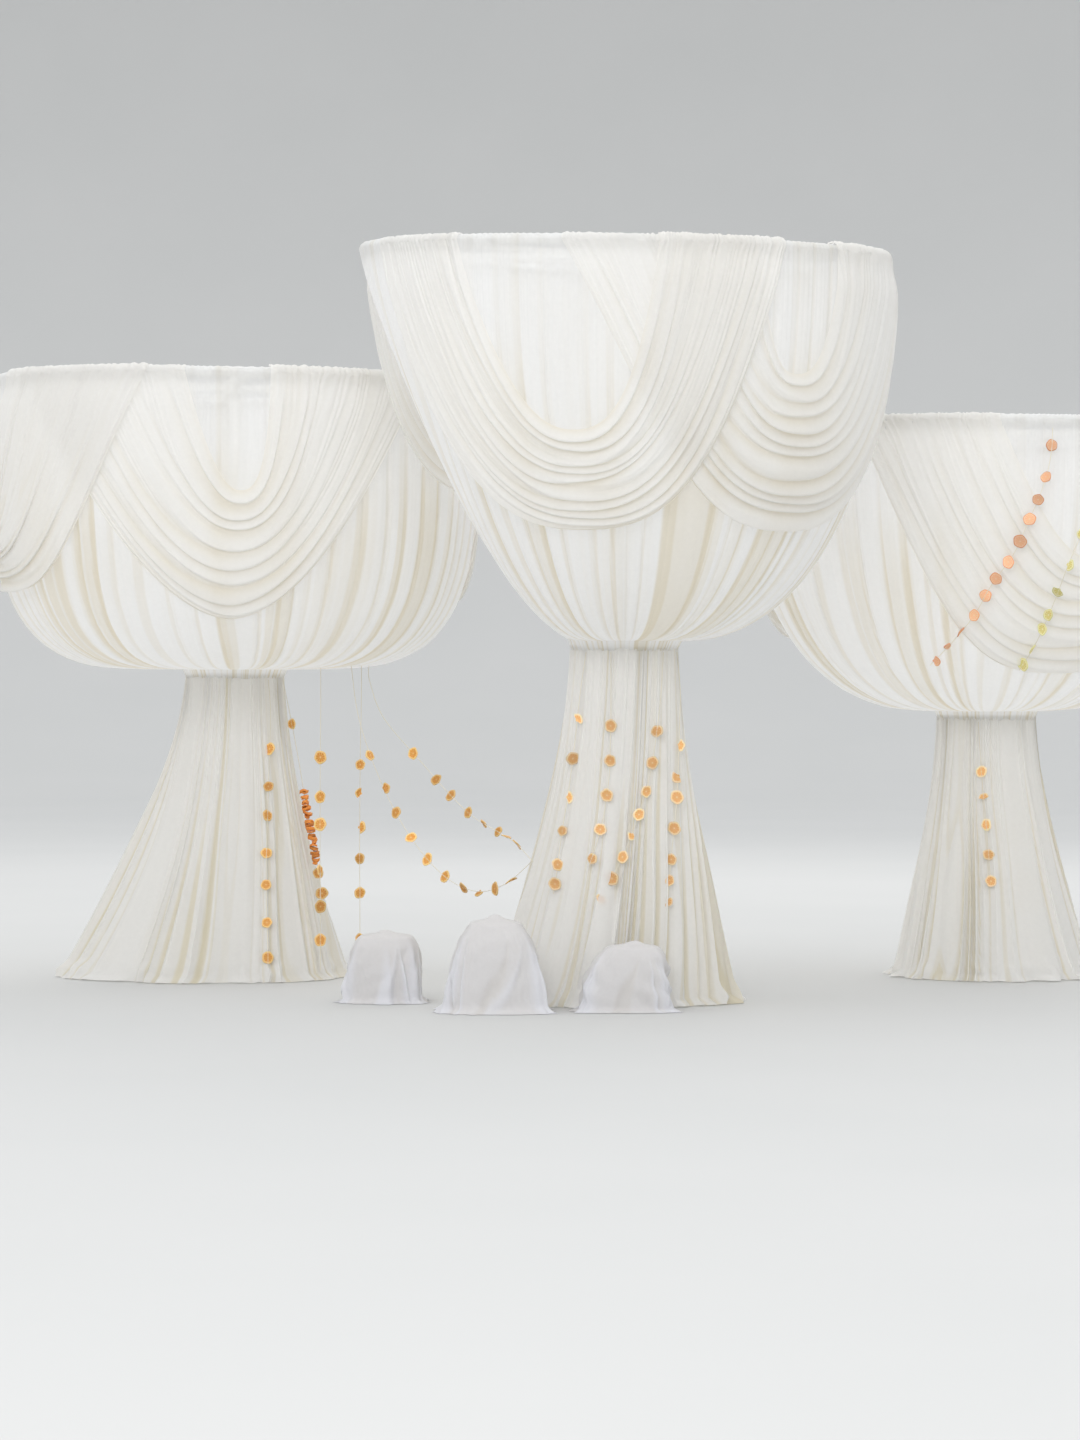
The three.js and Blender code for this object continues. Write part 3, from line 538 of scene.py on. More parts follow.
# %% Threads
threads = {}
for name, line in STRING_LINES.items():
    curve = bpy.data.curves.new(name + "_thread", "CURVE")
    curve.dimensions = "3D"
    curve.bevel_depth = THREAD_DIAMETER / 2
    curve.bevel_resolution = 2
    curve.use_fill_caps = True
    spline = curve.splines.new("POLY")
    spline.points.add(len(line) - 1)
    spline.points.foreach_set("co", np.concatenate([line, np.ones((len(line), 1))], axis=1).ravel())
    threads[name] = place_piece(name + "_thread", curve)
print("threads:", len(threads))

# %% [markdown]
# A dried slice is a thin disc with a rough rim, a little cupped and wavy where it shrank as it
# dried, and some slices are halves. Rounds of points from the middle over the rim to the other
# face give the shape. A flat map on them lets the material draw rind, pith and segments, and one
# number for each slice makes some browner than others.

# %% The shape of a dried slice
SLICE_RADIUS = 0.027
SLICE_THICKNESS = 0.005
SLICE_SIDES = 24
SLICE_CUP = 0.004
SLICE_TWIST = (0.001, 0.003)
HALF_SLICE_SHARE = 0.18
RIM_LUMPS = [(2, 0.05), (5, 0.04)]
WHOLE_TURN = 6.28
# From the middle of one face to the middle of the other: share of the radius, and of the half thickness.
SLICE_PROFILE = [(0.02, 0.55), (0.3, 0.6), (0.6, 0.65), (0.84, 0.9), (0.96, 0.8), (1.0, 0.0),
                 (0.96, -0.8), (0.84, -0.9), (0.6, -0.65), (0.3, -0.6), (0.02, -0.55)]
SLICE_TURNS = np.linspace(0, 2 * np.pi, SLICE_SIDES, endpoint=False)
SLICE_MAP = [(0.5 + 0.5 * share * math.cos(turn), 0.5 + 0.5 * share * math.sin(turn))
             for share, _ in SLICE_PROFILE for turn in SLICE_TURNS]


def slice_points(draw, size):
    """One slice lying flat round its middle, each one different."""
    turns = SLICE_TURNS
    lump = np.ones(SLICE_SIDES)
    for count, size_of_lump in RIM_LUMPS:
        lump = lump + size_of_lump * np.sin(count * turns + draw.random() * WHOLE_TURN)
    if draw.random() < HALF_SLICE_SHARE:
        lump = lump * (0.3 + 0.7 * smooth(np.sin(turns + draw.random() * WHOLE_TURN), -0.3, 0.15))
    cup = draw.uniform(-SLICE_CUP, SLICE_CUP)
    twist = draw.uniform(*SLICE_TWIST)
    phase = draw.random() * WHOLE_TURN
    rows = []
    for share, side in SLICE_PROFILE:
        radius = SLICE_RADIUS * size * share * lump
        bend = cup * share ** 2 + twist * share ** 2 * np.sin(2 * turns + phase)
        height = side * SLICE_THICKNESS / 2 + bend
        rows.append(np.stack([radius * np.cos(turns), radius * np.sin(turns), height], axis=-1))
    return np.array(rows)


def slices_mesh(name, grids, tones):
    """All the slices of a string as one mesh, each with the flat map and its own tone."""
    count = len(SLICE_MAP)
    faces = []
    for start in range(0, count * len(grids), count):
        faces += round_faces(len(SLICE_PROFILE), SLICE_SIDES, start)
    piece = mesh_piece(name, np.array(grids), faces)
    piece.data.shade_smooth()
    corners = np.array([loop.vertex_index for loop in piece.data.loops])
    flat_map = np.tile(SLICE_MAP, (len(grids), 1))[corners]
    piece.data.uv_layers.new(name="slice_map").data.foreach_set("uv", flat_map.astype(np.float32).ravel())
    keep_values(piece.data, "slice_tone", np.repeat(tones, count))
    return piece


def along_line(line, share):
    steps = np.linalg.norm(np.diff(line, axis=0), axis=-1)
    reach = np.concatenate([[0], np.cumsum(steps)]) / steps.sum()
    return np.array([np.interp(share, reach, line[:, axis]) for axis in range(3)])


print("points of one slice:", len(SLICE_MAP))

# %% [markdown]
# Most slices lie flat along their thread and turn with it in the wind, so each one faces the
# front more or less. Each has a size and a tone of its own, drawn from a seeded generator, so
# that the strings look natural and still come out the same every time.

# %% Slices along the threads
SLICE_SIZES = (0.82, 1.06)
SLICE_LEAN = 0.55
SLICE_NOD = 0.16
SLICE_SEED = 40


def slice_string(name, line, places, seed):
    draw = np.random.default_rng(seed)
    grids, tones = [], []
    for place in places:
        down = along_line(line, min(place + 0.01, 1)) - along_line(line, max(place - 0.01, 0))
        down /= np.linalg.norm(down)
        lean = draw.normal(0, SLICE_LEAN)
        facing = np.array([math.sin(lean), -math.cos(lean), draw.normal(0, SLICE_NOD)])
        facing -= down * facing.dot(down)
        facing /= np.linalg.norm(facing)
        flat = slice_points(draw, draw.uniform(*SLICE_SIZES))
        beside = np.cross(down, facing)
        grids.append(along_line(line, place) + beside * flat[..., :1]
                     + down * flat[..., 1:2] + facing * flat[..., 2:])
        tones.append(draw.random())
    return slices_mesh(name, grids, tones)


slices = {}
for number, (name, string) in enumerate(STRINGS.items()):
    slices[name] = slice_string(name + "_slices", STRING_LINES[name], string["slices"], SLICE_SEED + number)
print("strings with slices:", len(slices))

# %% [markdown]
# On one string thick slices are threaded through their middles, close on one another like a
# stack of coins. They are the same slices, made thicker and a little narrower, and tilted a
# little each way.

# %% A tight stack on one string
STACK_STEP = 0.0105
STACK_SIZES = (0.72, 0.98)
STACK_NARROWING = 0.8
STACK_THICKENING = (1.5, 2.6)
STACK_TILT = 0.1
STACK_SEED = 77


def stack_string(name, line, span, seed):
    draw = np.random.default_rng(seed)
    count = int((span[1] - span[0]) * line_length(line) / STACK_STEP)
    grids, tones = [], []
    for place in np.linspace(span[0], span[1], count):
        flat = slice_points(draw, draw.uniform(*STACK_SIZES))
        tilt = draw.normal(0, STACK_TILT, 2)
        flat = flat * np.array([STACK_NARROWING, STACK_NARROWING, draw.uniform(*STACK_THICKENING)])
        flat[..., 2] += flat[..., 0] * tilt[0] + flat[..., 1] * tilt[1]
        grids.append(flat + along_line(line, place))
        tones.append(draw.random())
    return slices_mesh(name, grids, tones)


stack_span = STRINGS["left_string_2"]["stack"]
stack = stack_string("left_string_2_stack", STRING_LINES["left_string_2"], stack_span, STACK_SEED)
print("faces in the stack:", len(stack.data.polygons))

# %% [markdown]
# The liner is a sheer cloth that is gathered round the ring, hangs down as an open bowl and is
# gathered again at the waist. A grid of points follows that shape: it starts inside the ring,
# wraps over it, falls down the wall and ends in a short collar. Where the cloth is pulled tight
# the wall is less round.

# %% The smooth liner
LINER_ROWS = int(34 * DETAIL)
# Angles round the ring's tube: 180 is its inner side, 90 its top and 0 its outer side.
LINER_WRAP = (240, 12)
LINER_WRAP_ROWS = 9
LINER_WRAP_LIFT = 0.0015
LINER_PROFILE_STEPS = 400


def liner_profile(power, bowl):
    """Radius and depth of the bowl's wall, evenly spaced from the rim to the collar's end."""
    turn = np.linspace(0, np.pi / 2, LINER_PROFILE_STEPS)
    radius = WAIST_RADIUS + (RIM_RADIUS - WAIST_RADIUS) * np.cos(turn) ** (2 / power)
    depth = bowl * np.sin(turn) ** (2 / power)
    radius = np.append(radius, WAIST_RADIUS)
    depth = np.append(depth, bowl + WAIST_COLLAR_HEIGHT)
    reach = np.concatenate([[0], np.cumsum(np.hypot(np.diff(radius), np.diff(depth)))])
    even = np.linspace(0, reach[-1], LINER_ROWS)
    return np.interp(even, reach, radius), np.interp(even, reach, depth)


def liner_points(stand, degrees):
    """Points of the smooth cloth from inside the ring down to the waist, and their depths."""
    away = np.radians(degrees - stand["tight"][0])
    hold = np.maximum(0, np.cos(away)) ** 2
    powers = stand["power"] + (stand["tight"][1] - stand["power"]) * hold
    wall = np.array([liner_profile(power, stand["bowl"]) for power in powers])
    wrap = np.radians(np.linspace(*LINER_WRAP, LINER_WRAP_ROWS))[:, None] + 0 * degrees[None]
    tube = SLEEVE_RADIUS + LINER_WRAP_LIFT
    radius = np.concatenate([RING_RADIUS + tube * np.cos(wrap), wall[:, 0].T])
    depth = np.concatenate([-tube * np.sin(wrap), wall[:, 1].T])
    points = on_circle(radius, 0 * depth + degrees[None], stand["ring"] - depth)
    return settled(stand, points, np.maximum(depth, 0)), depth


print("rows of a liner:", LINER_WRAP_ROWS + LINER_ROWS)

# %% [markdown]
# Each liner gets sixty pleats. They could be modelled one by one, but here they are waves: the
# smooth cloth's points are moved along their normals. The waves are of uneven width and depth, and
# they crowd together at the waist as real gathers do. Near the ring there are finer ones, and a
# small roll where the sleeve is sewn.

# %% The liners' pleats
LINER_PLEATS = 60
LINER_COLUMNS = int(840 * DETAIL)
LINER_LIFT = 0.003
LINER_LUMP = 0.0006
LINER_SEED = 100
LINER_SHADE_STRIPES = (34, 0.012)
PLEAT_DEPTH = 0.011
PLEAT_WANDER = 0.009
ROLL_BULGE = 0.0009
ROLL_HEIGHT = 0.032


def liner_grid(stand, seed):
    """The liner in pleats, and its painted light, lower where shade is painted; share runs from 0 at the ring
    to 1 at the waist.
    """
    degrees = np.linspace(0, 360, LINER_COLUMNS, endpoint=False)
    points, depth = liner_points(stand, degrees)
    share = np.clip(depth / stand["bowl"], 0, 1)
    turn = (0 * depth + degrees[None]) / 360
    phase = LINER_PLEATS * (turn + ripple(turn, (2, 3, 5, 9, 14), PLEAT_WANDER, seed))
    phase += 0.2 * drift(turn, share * 0.5, 5, seed + 1, whole=7) * share
    number = np.floor(phase).astype(int) % LINER_PLEATS
    strength = np.random.default_rng(seed + 2).uniform(0.25, 1.3, LINER_PLEATS)[number]
    size = PLEAT_DEPTH * strength
    size *= 0.4 + 0.6 * smooth(share, 0.02, 0.35) - 0.35 * smooth(share, 0.55, 1.0)
    fine = np.cos(2 * np.pi * (4 * phase + ripple(turn, (7, 13), 0.4, seed + 3)))
    fine_size = 0.0010 * (1 - smooth(share, 0.1, 0.5)) + 0.0004
    roll = ROLL_BULGE * (1 - smooth(depth, ROLL_HEIGHT * 0.75, ROLL_HEIGHT * 1.15))
    lump = LINER_LUMP * drift(turn, depth * 8, 8, seed + 4, whole=70)
    offset = size * (waves(phase) ** 0.55 - 1) + LINER_LIFT + fine_size * fine + roll + lump
    collar = smooth(depth, stand["bowl"] - 0.02, stand["bowl"])
    offset = offset * (1 - collar) - 0.0005 * collar
    wrapped = np.arange(len(depth))[:, None] < LINER_WRAP_ROWS
    offset = np.where(wrapped, roll + lump + 0.0015 * fine, offset)
    # Painted shade: pleat valleys darken, more for deep pleats, stripes of painted shade stand for folds seen
    # through the sheer cloth, and all of it grows towards the waist, where the bowl lies in deeper shade.
    valley_shade = 1 - smooth(waves(phase), 0.15, 0.4)
    pleat_shade = 0.6 * valley_shade * np.clip(strength, 0, 1)
    pleat_shade = pleat_shade + 0.75 * stripes(phase / LINER_PLEATS, *LINER_SHADE_STRIPES, seed + 7)
    shown = 1 - pleat_shade * (0.36 + 0.64 * smooth(share, 0.15, 0.6))
    return points + outward_normals(points, ring_closed=True) * offset[..., None], shown


for number, (name, stand) in enumerate(STANDS.items()):
    points, shown = liner_grid(stand, LINER_SEED + 10 * number)
    hang_cloth(name + "_liner", points, shown, stand)

# %% [markdown]
# A swag is one long cloth gathered at two shoulders on the ring. Between them each thread of the
# cloth hangs as a chain would, so the upper edge makes an open U and the hem a deep one, with
# soft rolls between them. A cloth simulation can take minutes and sags in its own way, so the
# rolls are worked out here: each one stands out over its own stretch of the swag, dies away to
# both sides and droops over the crease below it. Only small pleats are left at the shoulders,
# where the cloth folds over the ring.

# %% The smooth swag
# Angles round the ring's tube, as for the liner.
SWAG_WRAP = (128, 14)
SWAG_WRAP_STATIONS = 7
RING_LIFT_UNDER = 0.005
RING_LIFT_OVER = 0.012
RING_LIFT_DEPTH = 0.16


def swag_stations(count):
    """Places along a swag, from 0 to 1, close together near the ring."""
    even = np.linspace(0, 1, count)
    close = np.linspace(0.006, 0.05, 9)
    return np.unique(np.concatenate([even, close, 1 - close]))


def swag_wall(stand, swag, along, across):
    """The part that hangs: along runs from shoulder to shoulder, across from the hem to the U."""
    hem_left, open_left, open_right, hem_right, open_drop, hem_drop = swag[:6]
    hem_sag, open_sag, lean = swag[6:] or SWAG_SAG
    left = hem_left + (open_left - hem_left) * across
    right = hem_right + (open_right - hem_right) * across
    drop = hem_drop + (open_drop - hem_drop) * across
    side = -np.cos(np.pi * along)
    hung = 1 - np.abs(side) ** (hem_sag + (open_sag - hem_sag) * across)
    depth = drop * hung
    over = smooth(along, 0.35, 0.65)
    near = RING_LIFT_UNDER + (RING_LIFT_OVER - RING_LIFT_UNDER) * over
    low = SWAG_LIFT_UNDER + (SWAG_LIFT_OVER - SWAG_LIFT_UNDER) * over
    lift = near + (low - near) * smooth(depth, 0.0, RING_LIFT_DEPTH)
    radius = bowl_radius(stand, depth)
    half = np.radians((right - left) / 2)
    sideways = np.clip(side * RIM_RADIUS * np.sin(half) / radius, -1, 1)
    degrees = (left + right) / 2 + np.degrees(np.arcsin(sideways)) + lean * hung
    points = on_circle(radius + lift, degrees, stand["ring"] - depth)
    return settled(stand, points, depth), depth


def swag_end(stand, degrees, lift, turns):
    """A shoulder's fold over the ring: turns are angles round the ring's tube."""
    angle = np.radians(turns)[:, None] + 0 * degrees[None]
    radius = RING_RADIUS + (SLEEVE_RADIUS + lift) * np.cos(angle)
    height = stand["ring"] + (SLEEVE_RADIUS + lift) * np.sin(angle)
    points = on_circle(radius, 0 * angle + degrees[None], height)
    return settled(stand, points, np.zeros_like(angle))


def swag_points(stand, swag, stations, rows):
    """Points of a smooth swag, with the depth below the ring, along and across for each."""
    along = swag_stations(stations)[:, None]
    across = np.linspace(0, 1, rows)[None]
    wall, depth = swag_wall(stand, swag, along, across)
    turns = np.linspace(*SWAG_WRAP, SWAG_WRAP_STATIONS)
    left = swag[0] + (swag[1] - swag[0]) * across[0]
    right = swag[3] + (swag[2] - swag[3]) * across[0]
    start = swag_end(stand, left, RING_LIFT_UNDER, turns)
    finish = swag_end(stand, right, RING_LIFT_OVER, turns[::-1])
    depth = np.pad(depth, ((SWAG_WRAP_STATIONS, SWAG_WRAP_STATIONS), (0, 0)))
    ends = np.zeros((SWAG_WRAP_STATIONS, 1))
    along = np.concatenate([ends, along, ends + 1])
    return np.concatenate([start, wall, finish]), depth, along, across + 0 * along


print("smooth swag ready")

# %% The swags' rolls and pleats
SWAG_ROLLS = 8
SWAG_ROLLS_OF = {"centre_swag_1": 9, "centre_swag_2": 11}
SWAG_GRIDS = [(84, 140), (84, 140), (64, 110), (64, 110), (72, 120)]
SWAG_PLEATS = 23
SWAG_WRINKLE = 0.0006
SWAG_SEED = 300
EDGE_ROLLS = 2
ROLL_DEPTH = 0.0185
ROLL_DROOP = 0.38
ROLL_WANDER = 0.022
HEM_DEPTH = 0.0022


def swag_rolls(stand, rolls, depth, along, across, seed):
    """The rolls as a wave over the cloth, and how far they stand out at each place."""
    free = smooth(1 - across, 0.0, 0.2)
    wander = rolls * ripple(across, (1, 2, 3), ROLL_WANDER, seed)
    wander = wander + 0.3 * drift(along * 0.8, across * 2, 6, seed + 1)
    phase = rolls * across + wander * free * smooth(across, 0.0, 0.1)
    number = np.clip(np.floor(phase).astype(int), 0, rolls - 1)
    draw = np.random.default_rng(seed + 2)
    middle = draw.uniform(0.42, 0.58, rolls)
    reach = draw.uniform(0.20, 0.29, rolls)
    strength = draw.uniform(0.75, 1.15, rolls)
    middle[-EDGE_ROLLS:] = 0.5
    reach[-EDGE_ROLLS:] = 0.33
    stood = strength[number] * np.exp(-(((along - middle[number]) / reach[number]) ** 2))
    at_shoulders = stand["shoulder_fold"] * smooth(depth, 0.0, 0.3) * strength[number]
    return waves(phase) ** 0.9, np.maximum(stood, at_shoulders)


def swag_pleats(along, across, seed):
    """The small pleats as a wave, and their size, which fades away from the shoulders."""
    phase = SWAG_PLEATS * (across + ripple(across, (2, 5, 7), 0.011, seed + 3))
    phase += 0.5 * drift(along, across * 3, 4, seed + 4)
    size = 0.0016 * (1 - np.sin(np.pi * along) ** 1.3) + 0.0003
    size = size * np.clip(1 + 0.6 * drift(along * 1.5, across * 3, 5, seed + 6), 0.1, 1.8)
    return np.cos(2 * np.pi * phase), size


def swag_grid(stand, swag, seed, stations, rows, rolls):
    points, depth, along, across = swag_points(stand, swag, stations, rows)
    normals = outward_normals(points)
    down = -np.gradient(points, axis=1) * (rows - 1)
    spread = np.linalg.norm(down, axis=-1)
    down /= spread[..., None] + 1e-12
    crest, stood = swag_rolls(stand, rolls, depth, along, across, seed)
    pleat, pleat_size = swag_pleats(along, across, seed)
    wrinkle = SWAG_WRINKLE * drift(along * 7 + across * 4, across * 12, 9, seed + 5)
    roll = ROLL_BULGE * (1 - smooth(depth, ROLL_HEIGHT * 0.7, ROLL_HEIGHT * 1.15))
    hem = HEM_DEPTH * (1 - smooth(np.abs(across - 0.035), 0.0, 0.02))
    outward = ROLL_DEPTH * stood * crest + pleat_size * pleat + wrinkle + roll + hem
    sunk = ROLL_DROOP * stood * spread / rolls * crest
    points = points + normals * outward[..., None] + down * sunk[..., None]
    # Painted shade: the creases between the rolls darken, and at the shoulders the pleat valleys a little.
    shown = np.clip(stood, 0, 1)
    return points, 1 - (1 - crest) * shown - (0.5 - 0.5 * pleat) * (1 - shown) * 0.2


swag_names = {}
for number, (stand_name, stand) in enumerate(STANDS.items()):
    for index, swag in enumerate(stand["swags"]):
        name = f"{stand_name}_swag_{index + 1}"
        swag_names[name] = stand_name
        stations, rows = [int(count * DETAIL) for count in SWAG_GRIDS[index]]
        rolls = SWAG_ROLLS_OF.get(name, SWAG_ROLLS)
        points, shown = swag_grid(stand, swag, SWAG_SEED + 40 * number + 7 * index, stations, rows, rolls)
        hang_cloth(name, points, shown, stand, ring_closed=False)

# %% [markdown]
# A skirt is gathered in a tight band at the waist and falls to the ground, where its hem rests in
# soft heaps. Its folds start narrow and open out as they fall, and some of them only begin on the
# way. They are waves as on the liner, because their number, depth and lean can then be set. The
# grid runs from the band to the floor, with the folds swept to the side that the cloth is
# pulled to.

# %% Skirts
SKIRT_FOLDS = 38
SKIRT_COLUMNS = int(830 * DETAIL)
SKIRT_ROWS = int(32 * DETAIL)
SKIRT_SEED = 500
HEM_REST = 0.003
SKIRT_LOW = 0.12
SKIRT_FOOT_LEVELS = [0.10, 0.08, 0.064, 0.05, 0.034, 0.020, 0.010, 0.005, HEM_REST]
FOLD_DEPTHS = (0.007, 0.024)
FOLD_WANDER = 0.027
SKIRT_SHADE_STRIPES = (20, 0.009)
SPILL_REACH = (0.026, 0.018)
HEAP_DEPTH = 0.018


def skirt_grid(stand, seed):
    """The skirt in folds, and its painted light, lower where shade is painted; share runs from 0 at the band
    to 1 on the ground.
    """
    degrees = np.linspace(0, 360, SKIRT_COLUMNS, endpoint=False)[None]
    top = skirt_top(stand)
    fall = top - (top - SKIRT_LOW) * np.linspace(0, 1, SKIRT_ROWS) ** 1.3
    level = np.concatenate([fall, SKIRT_FOOT_LEVELS])[:, None]
    share = np.clip(1 - level / top, 0, 1)
    turn = degrees / 360 + 0 * level
    swept = degrees + stand["sweep"] * share ** 1.3 * (0.6 + 0.4 * np.cos(np.radians(degrees)))
    radius = skirt_radius(stand, swept, level + 0 * degrees)
    phase = SKIRT_FOLDS * (turn + ripple(turn, (2, 3, 5, 8, 11), FOLD_WANDER, seed))
    phase += 0.2 * drift(turn, share * 0.6, 6, seed + 1, whole=6) * smooth(share, 0.03, 0.5)
    wave = waves(phase)
    crest = wave ** 0.7
    draw = np.random.default_rng(seed + 2)
    number = np.floor(phase).astype(int) % SKIRT_FOLDS
    first = draw.uniform(0.0, 0.45, SKIRT_FOLDS)[number]
    strength = (1.4 * draw.uniform(0.1, 1.0, SKIRT_FOLDS) ** 1.4)[number]
    size = (FOLD_DEPTHS[0] + FOLD_DEPTHS[1] * smooth(share, first, first + 0.6)) * strength
    fine = np.cos(2 * np.pi * (3 * phase + ripple(turn, (11, 17), 0.35, seed + 3)))
    fine_size = 0.0016 * (1 - smooth(share, 0.04, 0.6)) + 0.0005
    band = 1 - smooth(share, 0.012, 0.035)
    pooled = smooth(-level, -0.036, -HEM_REST)
    spill = pooled * (SPILL_REACH[0] + SPILL_REACH[1] * drift(turn, share, 6, seed + 4, whole=22))
    heap = HEAP_DEPTH * np.maximum(0, drift(turn, share * 3, 6, seed + 5, whole=30))
    heap = heap * smooth(-level, -0.10, -0.03) * (1 - pooled)
    offset = (size * crest + fine_size * fine - 0.006 - 0.010 * share) * (1 - 0.7 * band) + spill + heap
    sway = 0.25 * size * np.sin(2 * np.pi * phase) / np.maximum(radius, 0.1)
    points = on_circle(radius + offset, swept + np.degrees(sway), level + 0 * degrees)
    points[..., 2] = np.maximum(points[..., 2] + 0.004 * pooled * crest, HEM_REST * 0.6)
    # Painted shade: fold valleys darken as the folds open out, more for deep folds, and stripes of painted
    # shade run down the skirt.
    opened = 0.4 + 0.6 * smooth(share, first, first + 0.4)
    valley_shade = (1 - smooth(wave, 0.02, 0.2)) * np.clip(strength, 0, 1) * opened
    return points, 1 - 0.9 * valley_shade - 0.85 * stripes(phase / SKIRT_FOLDS, *SKIRT_SHADE_STRIPES, seed + 7)


for number, (name, stand) in enumerate(STANDS.items()):
    points, shown = skirt_grid(stand, SKIRT_SEED + 10 * number)
    hang_cloth(name + "_skirt", points, shown, stand)

# %% [markdown]
# Ballast blocks at the feet are hidden under cloth covers. A cover lies on its block with a low
# peak in the middle, turns over the edge and falls like a tent. Sharp folds run down from the
# corners, the cloth sags and crumples between them, and a little of it spills out on the ground.
# A cloth simulation could drop it on its block, but would put the folds elsewhere. So a grid
# follows the block, and the folds are ridges on it, where they are wanted.

# %% The covers' sizes
COVERS = {
    "weight_cover_tall": dict(centre=(-0.514, -0.420), foot=(0.200, 0.172), shoulder=(0.108, 0.098),
                              height=0.385, shift=0.0, crumple=0.0016),
    "weight_cover_low": dict(centre=(-0.010, -0.415), foot=(0.184, 0.110), shoulder=(0.112, 0.066),
                             height=0.282, shift=0.045, crumple=0.0060),
    "weight_cover_back": dict(centre=(-0.962, 0.060), foot=(0.154, 0.140), shoulder=(0.116, 0.104),
                              height=0.295, shift=0.0, crumple=0.0020),
}
# Each row: its shares of the half widths at the foot and the shoulder, and of the height.
COVER_ROWS = [(0, 0.02, 1.0), (0, 0.14, 0.99), (0, 0.32, 0.962), (0, 0.55, 0.944), (0, 0.84, 0.932),
              (0, 1.0, 0.918), (0.02, 1.03, 0.895), (0.1, 0.98, 0.86), (0.26, 0.86, 0.79), (0.42, 0.69, 0.71),
              (0.55, 0.55, 0.62), (0.66, 0.43, 0.5), (0.78, 0.29, 0.38), (0.9, 0.14, 0.26),
              (0.97, 0.05, 0.15), (1.02, 0.0, 0.07), (1.08, 0, 0.02), (1.12, 0, 0.006)]
print("covers:", ", ".join(COVERS))

# %% Weight covers
COVER_SQUARENESS = 3
COVER_COLUMNS = int(280 * DETAIL)
COVER_GRID_ROWS = int(36 * DETAIL)
COVER_SEED = 700
COVER_CORNERS = (0.13, 0.37, 0.63, 0.87)
CORNER_FOLD_WIDTH = 0.030
CORNER_FOLD_HEIGHT = 0.024
COVER_FOLDS = 14
COVER_WRINKLE = 0.0011
COVER_SPILL = (0.014, 0.011)
COVER_PULL = 0.014
COVER_SAG = 0.016
COVER_DROP = 0.004
COVER_REST = 0.002


def cover_folds(turn, fall, seed):
    """Height of the folds that run down a cover: broad ones at its corners, narrow ones between."""
    draw = np.random.default_rng(seed)
    folds = []
    for corner in COVER_CORNERS:
        folds.append((corner + draw.normal(0, 0.012), CORNER_FOLD_WIDTH, CORNER_FOLD_HEIGHT))
    for _ in range(COVER_FOLDS):
        place, width = draw.random(), draw.uniform(0.004, 0.009)
        folds.append((place, width, draw.choice([-0.8, 1]) * draw.uniform(0.010, 0.019)))
    crest = 0 * turn + 0 * fall
    for place, width, height in folds:
        swing = place + draw.normal(0, 0.05) * fall
        apart = np.abs((turn - swing + 0.5) % 1 - 0.5)
        crest = crest + height * np.exp(-((apart / (width * (0.5 + fall))) ** 2)) * smooth(fall, 0.05, 0.8)
    return crest


def cover_grid(cover, seed):
    dense = np.linspace(0, len(COVER_ROWS) - 1, COVER_GRID_ROWS)
    at_foot, at_shoulder, high = [np.interp(dense, np.arange(len(COVER_ROWS)), column)[:, None]
                                  for column in zip(*COVER_ROWS)]
    turn = np.linspace(0, 1, COVER_COLUMNS, endpoint=False)[None]
    angle = 2 * np.pi * turn
    squared = [np.sign(f(angle)) * np.abs(f(angle)) ** (2 / COVER_SQUARENESS) for f in (np.cos, np.sin)]
    half_x, half_y = [at_foot * cover["foot"][i] + at_shoulder * cover["shoulder"][i] for i in (0, 1)]
    fall = 1 - high
    crest = cover_folds(turn, fall, seed)
    spilt = COVER_SPILL[0] + COVER_SPILL[1] * drift(turn, fall, 8, seed + 2, whole=24)
    spilt = smooth(fall, 0.92, 0.99) * spilt
    wrinkle = cover["crumple"] * drift(turn, fall * 2, 9, seed + 3, whole=14) * smooth(fall, 0.02, 0.3)
    fine = COVER_WRINKLE * drift(turn, fall * 6, 10, seed + 4, whole=40) * smooth(fall, 0.02, 0.2)
    wrinkle = wrinkle + fine
    spread = 1 + (crest - COVER_PULL * fall + spilt + wrinkle) / np.maximum(half_x, 0.05)
    x = cover["centre"][0] + cover["shift"] * high ** 2 + half_x * squared[0] * spread
    y = cover["centre"][1] + half_y * squared[1] * spread
    sag = COVER_SAG * (0.5 + 0.5 * np.cos(4 * angle))
    sag = sag * smooth(fall, 0.03, 0.12) * (1 - smooth(fall, 0.3, 0.8))
    z = np.maximum(cover["height"] * high - COVER_DROP - sag, COVER_REST)
    # Painted shade: the cover darkens towards its crease colour everywhere but on its raised folds, which
    # stay lit.
    return np.stack([x, y, z], axis=-1), np.clip(0.2 + crest / 0.02, 0, 1)


for number, (name, cover) in enumerate(COVERS.items()):
    points, shown = cover_grid(cover, COVER_SEED + 10 * number)
    hang_cloth(name, points, shown)

# %% [markdown]
# The frame's own steel shows through the bowls from above and under the hems: base plate, mast,
# hub with its arms, ring and waist hoop. The mast and the base plate are round, so they are made
# again here with more sides, as bodies turned round an upright line. The others keep their
# solids, and only get small rounded edges from a bevel modifier when they are dressed, because
# real tube and plate have no knife edges.

# %% Round steelwork
ROUND_SIDES = 64
SHARP_ANGLE = math.radians(32)
MAST_RADIUS = 0.025
MAST_OVER_RING = 0.055
PLATE_PROFILE = [(0.185, 0.0), (0.190, 0.002), (0.190, 0.009), (0.187, 0.012), (0.050, 0.012), (0.048, 0.014),
                 (0.034, 0.014), (0.0325, 0.016), (0.0325, 0.100), (0.0315, 0.102), (0.0255, 0.102)]


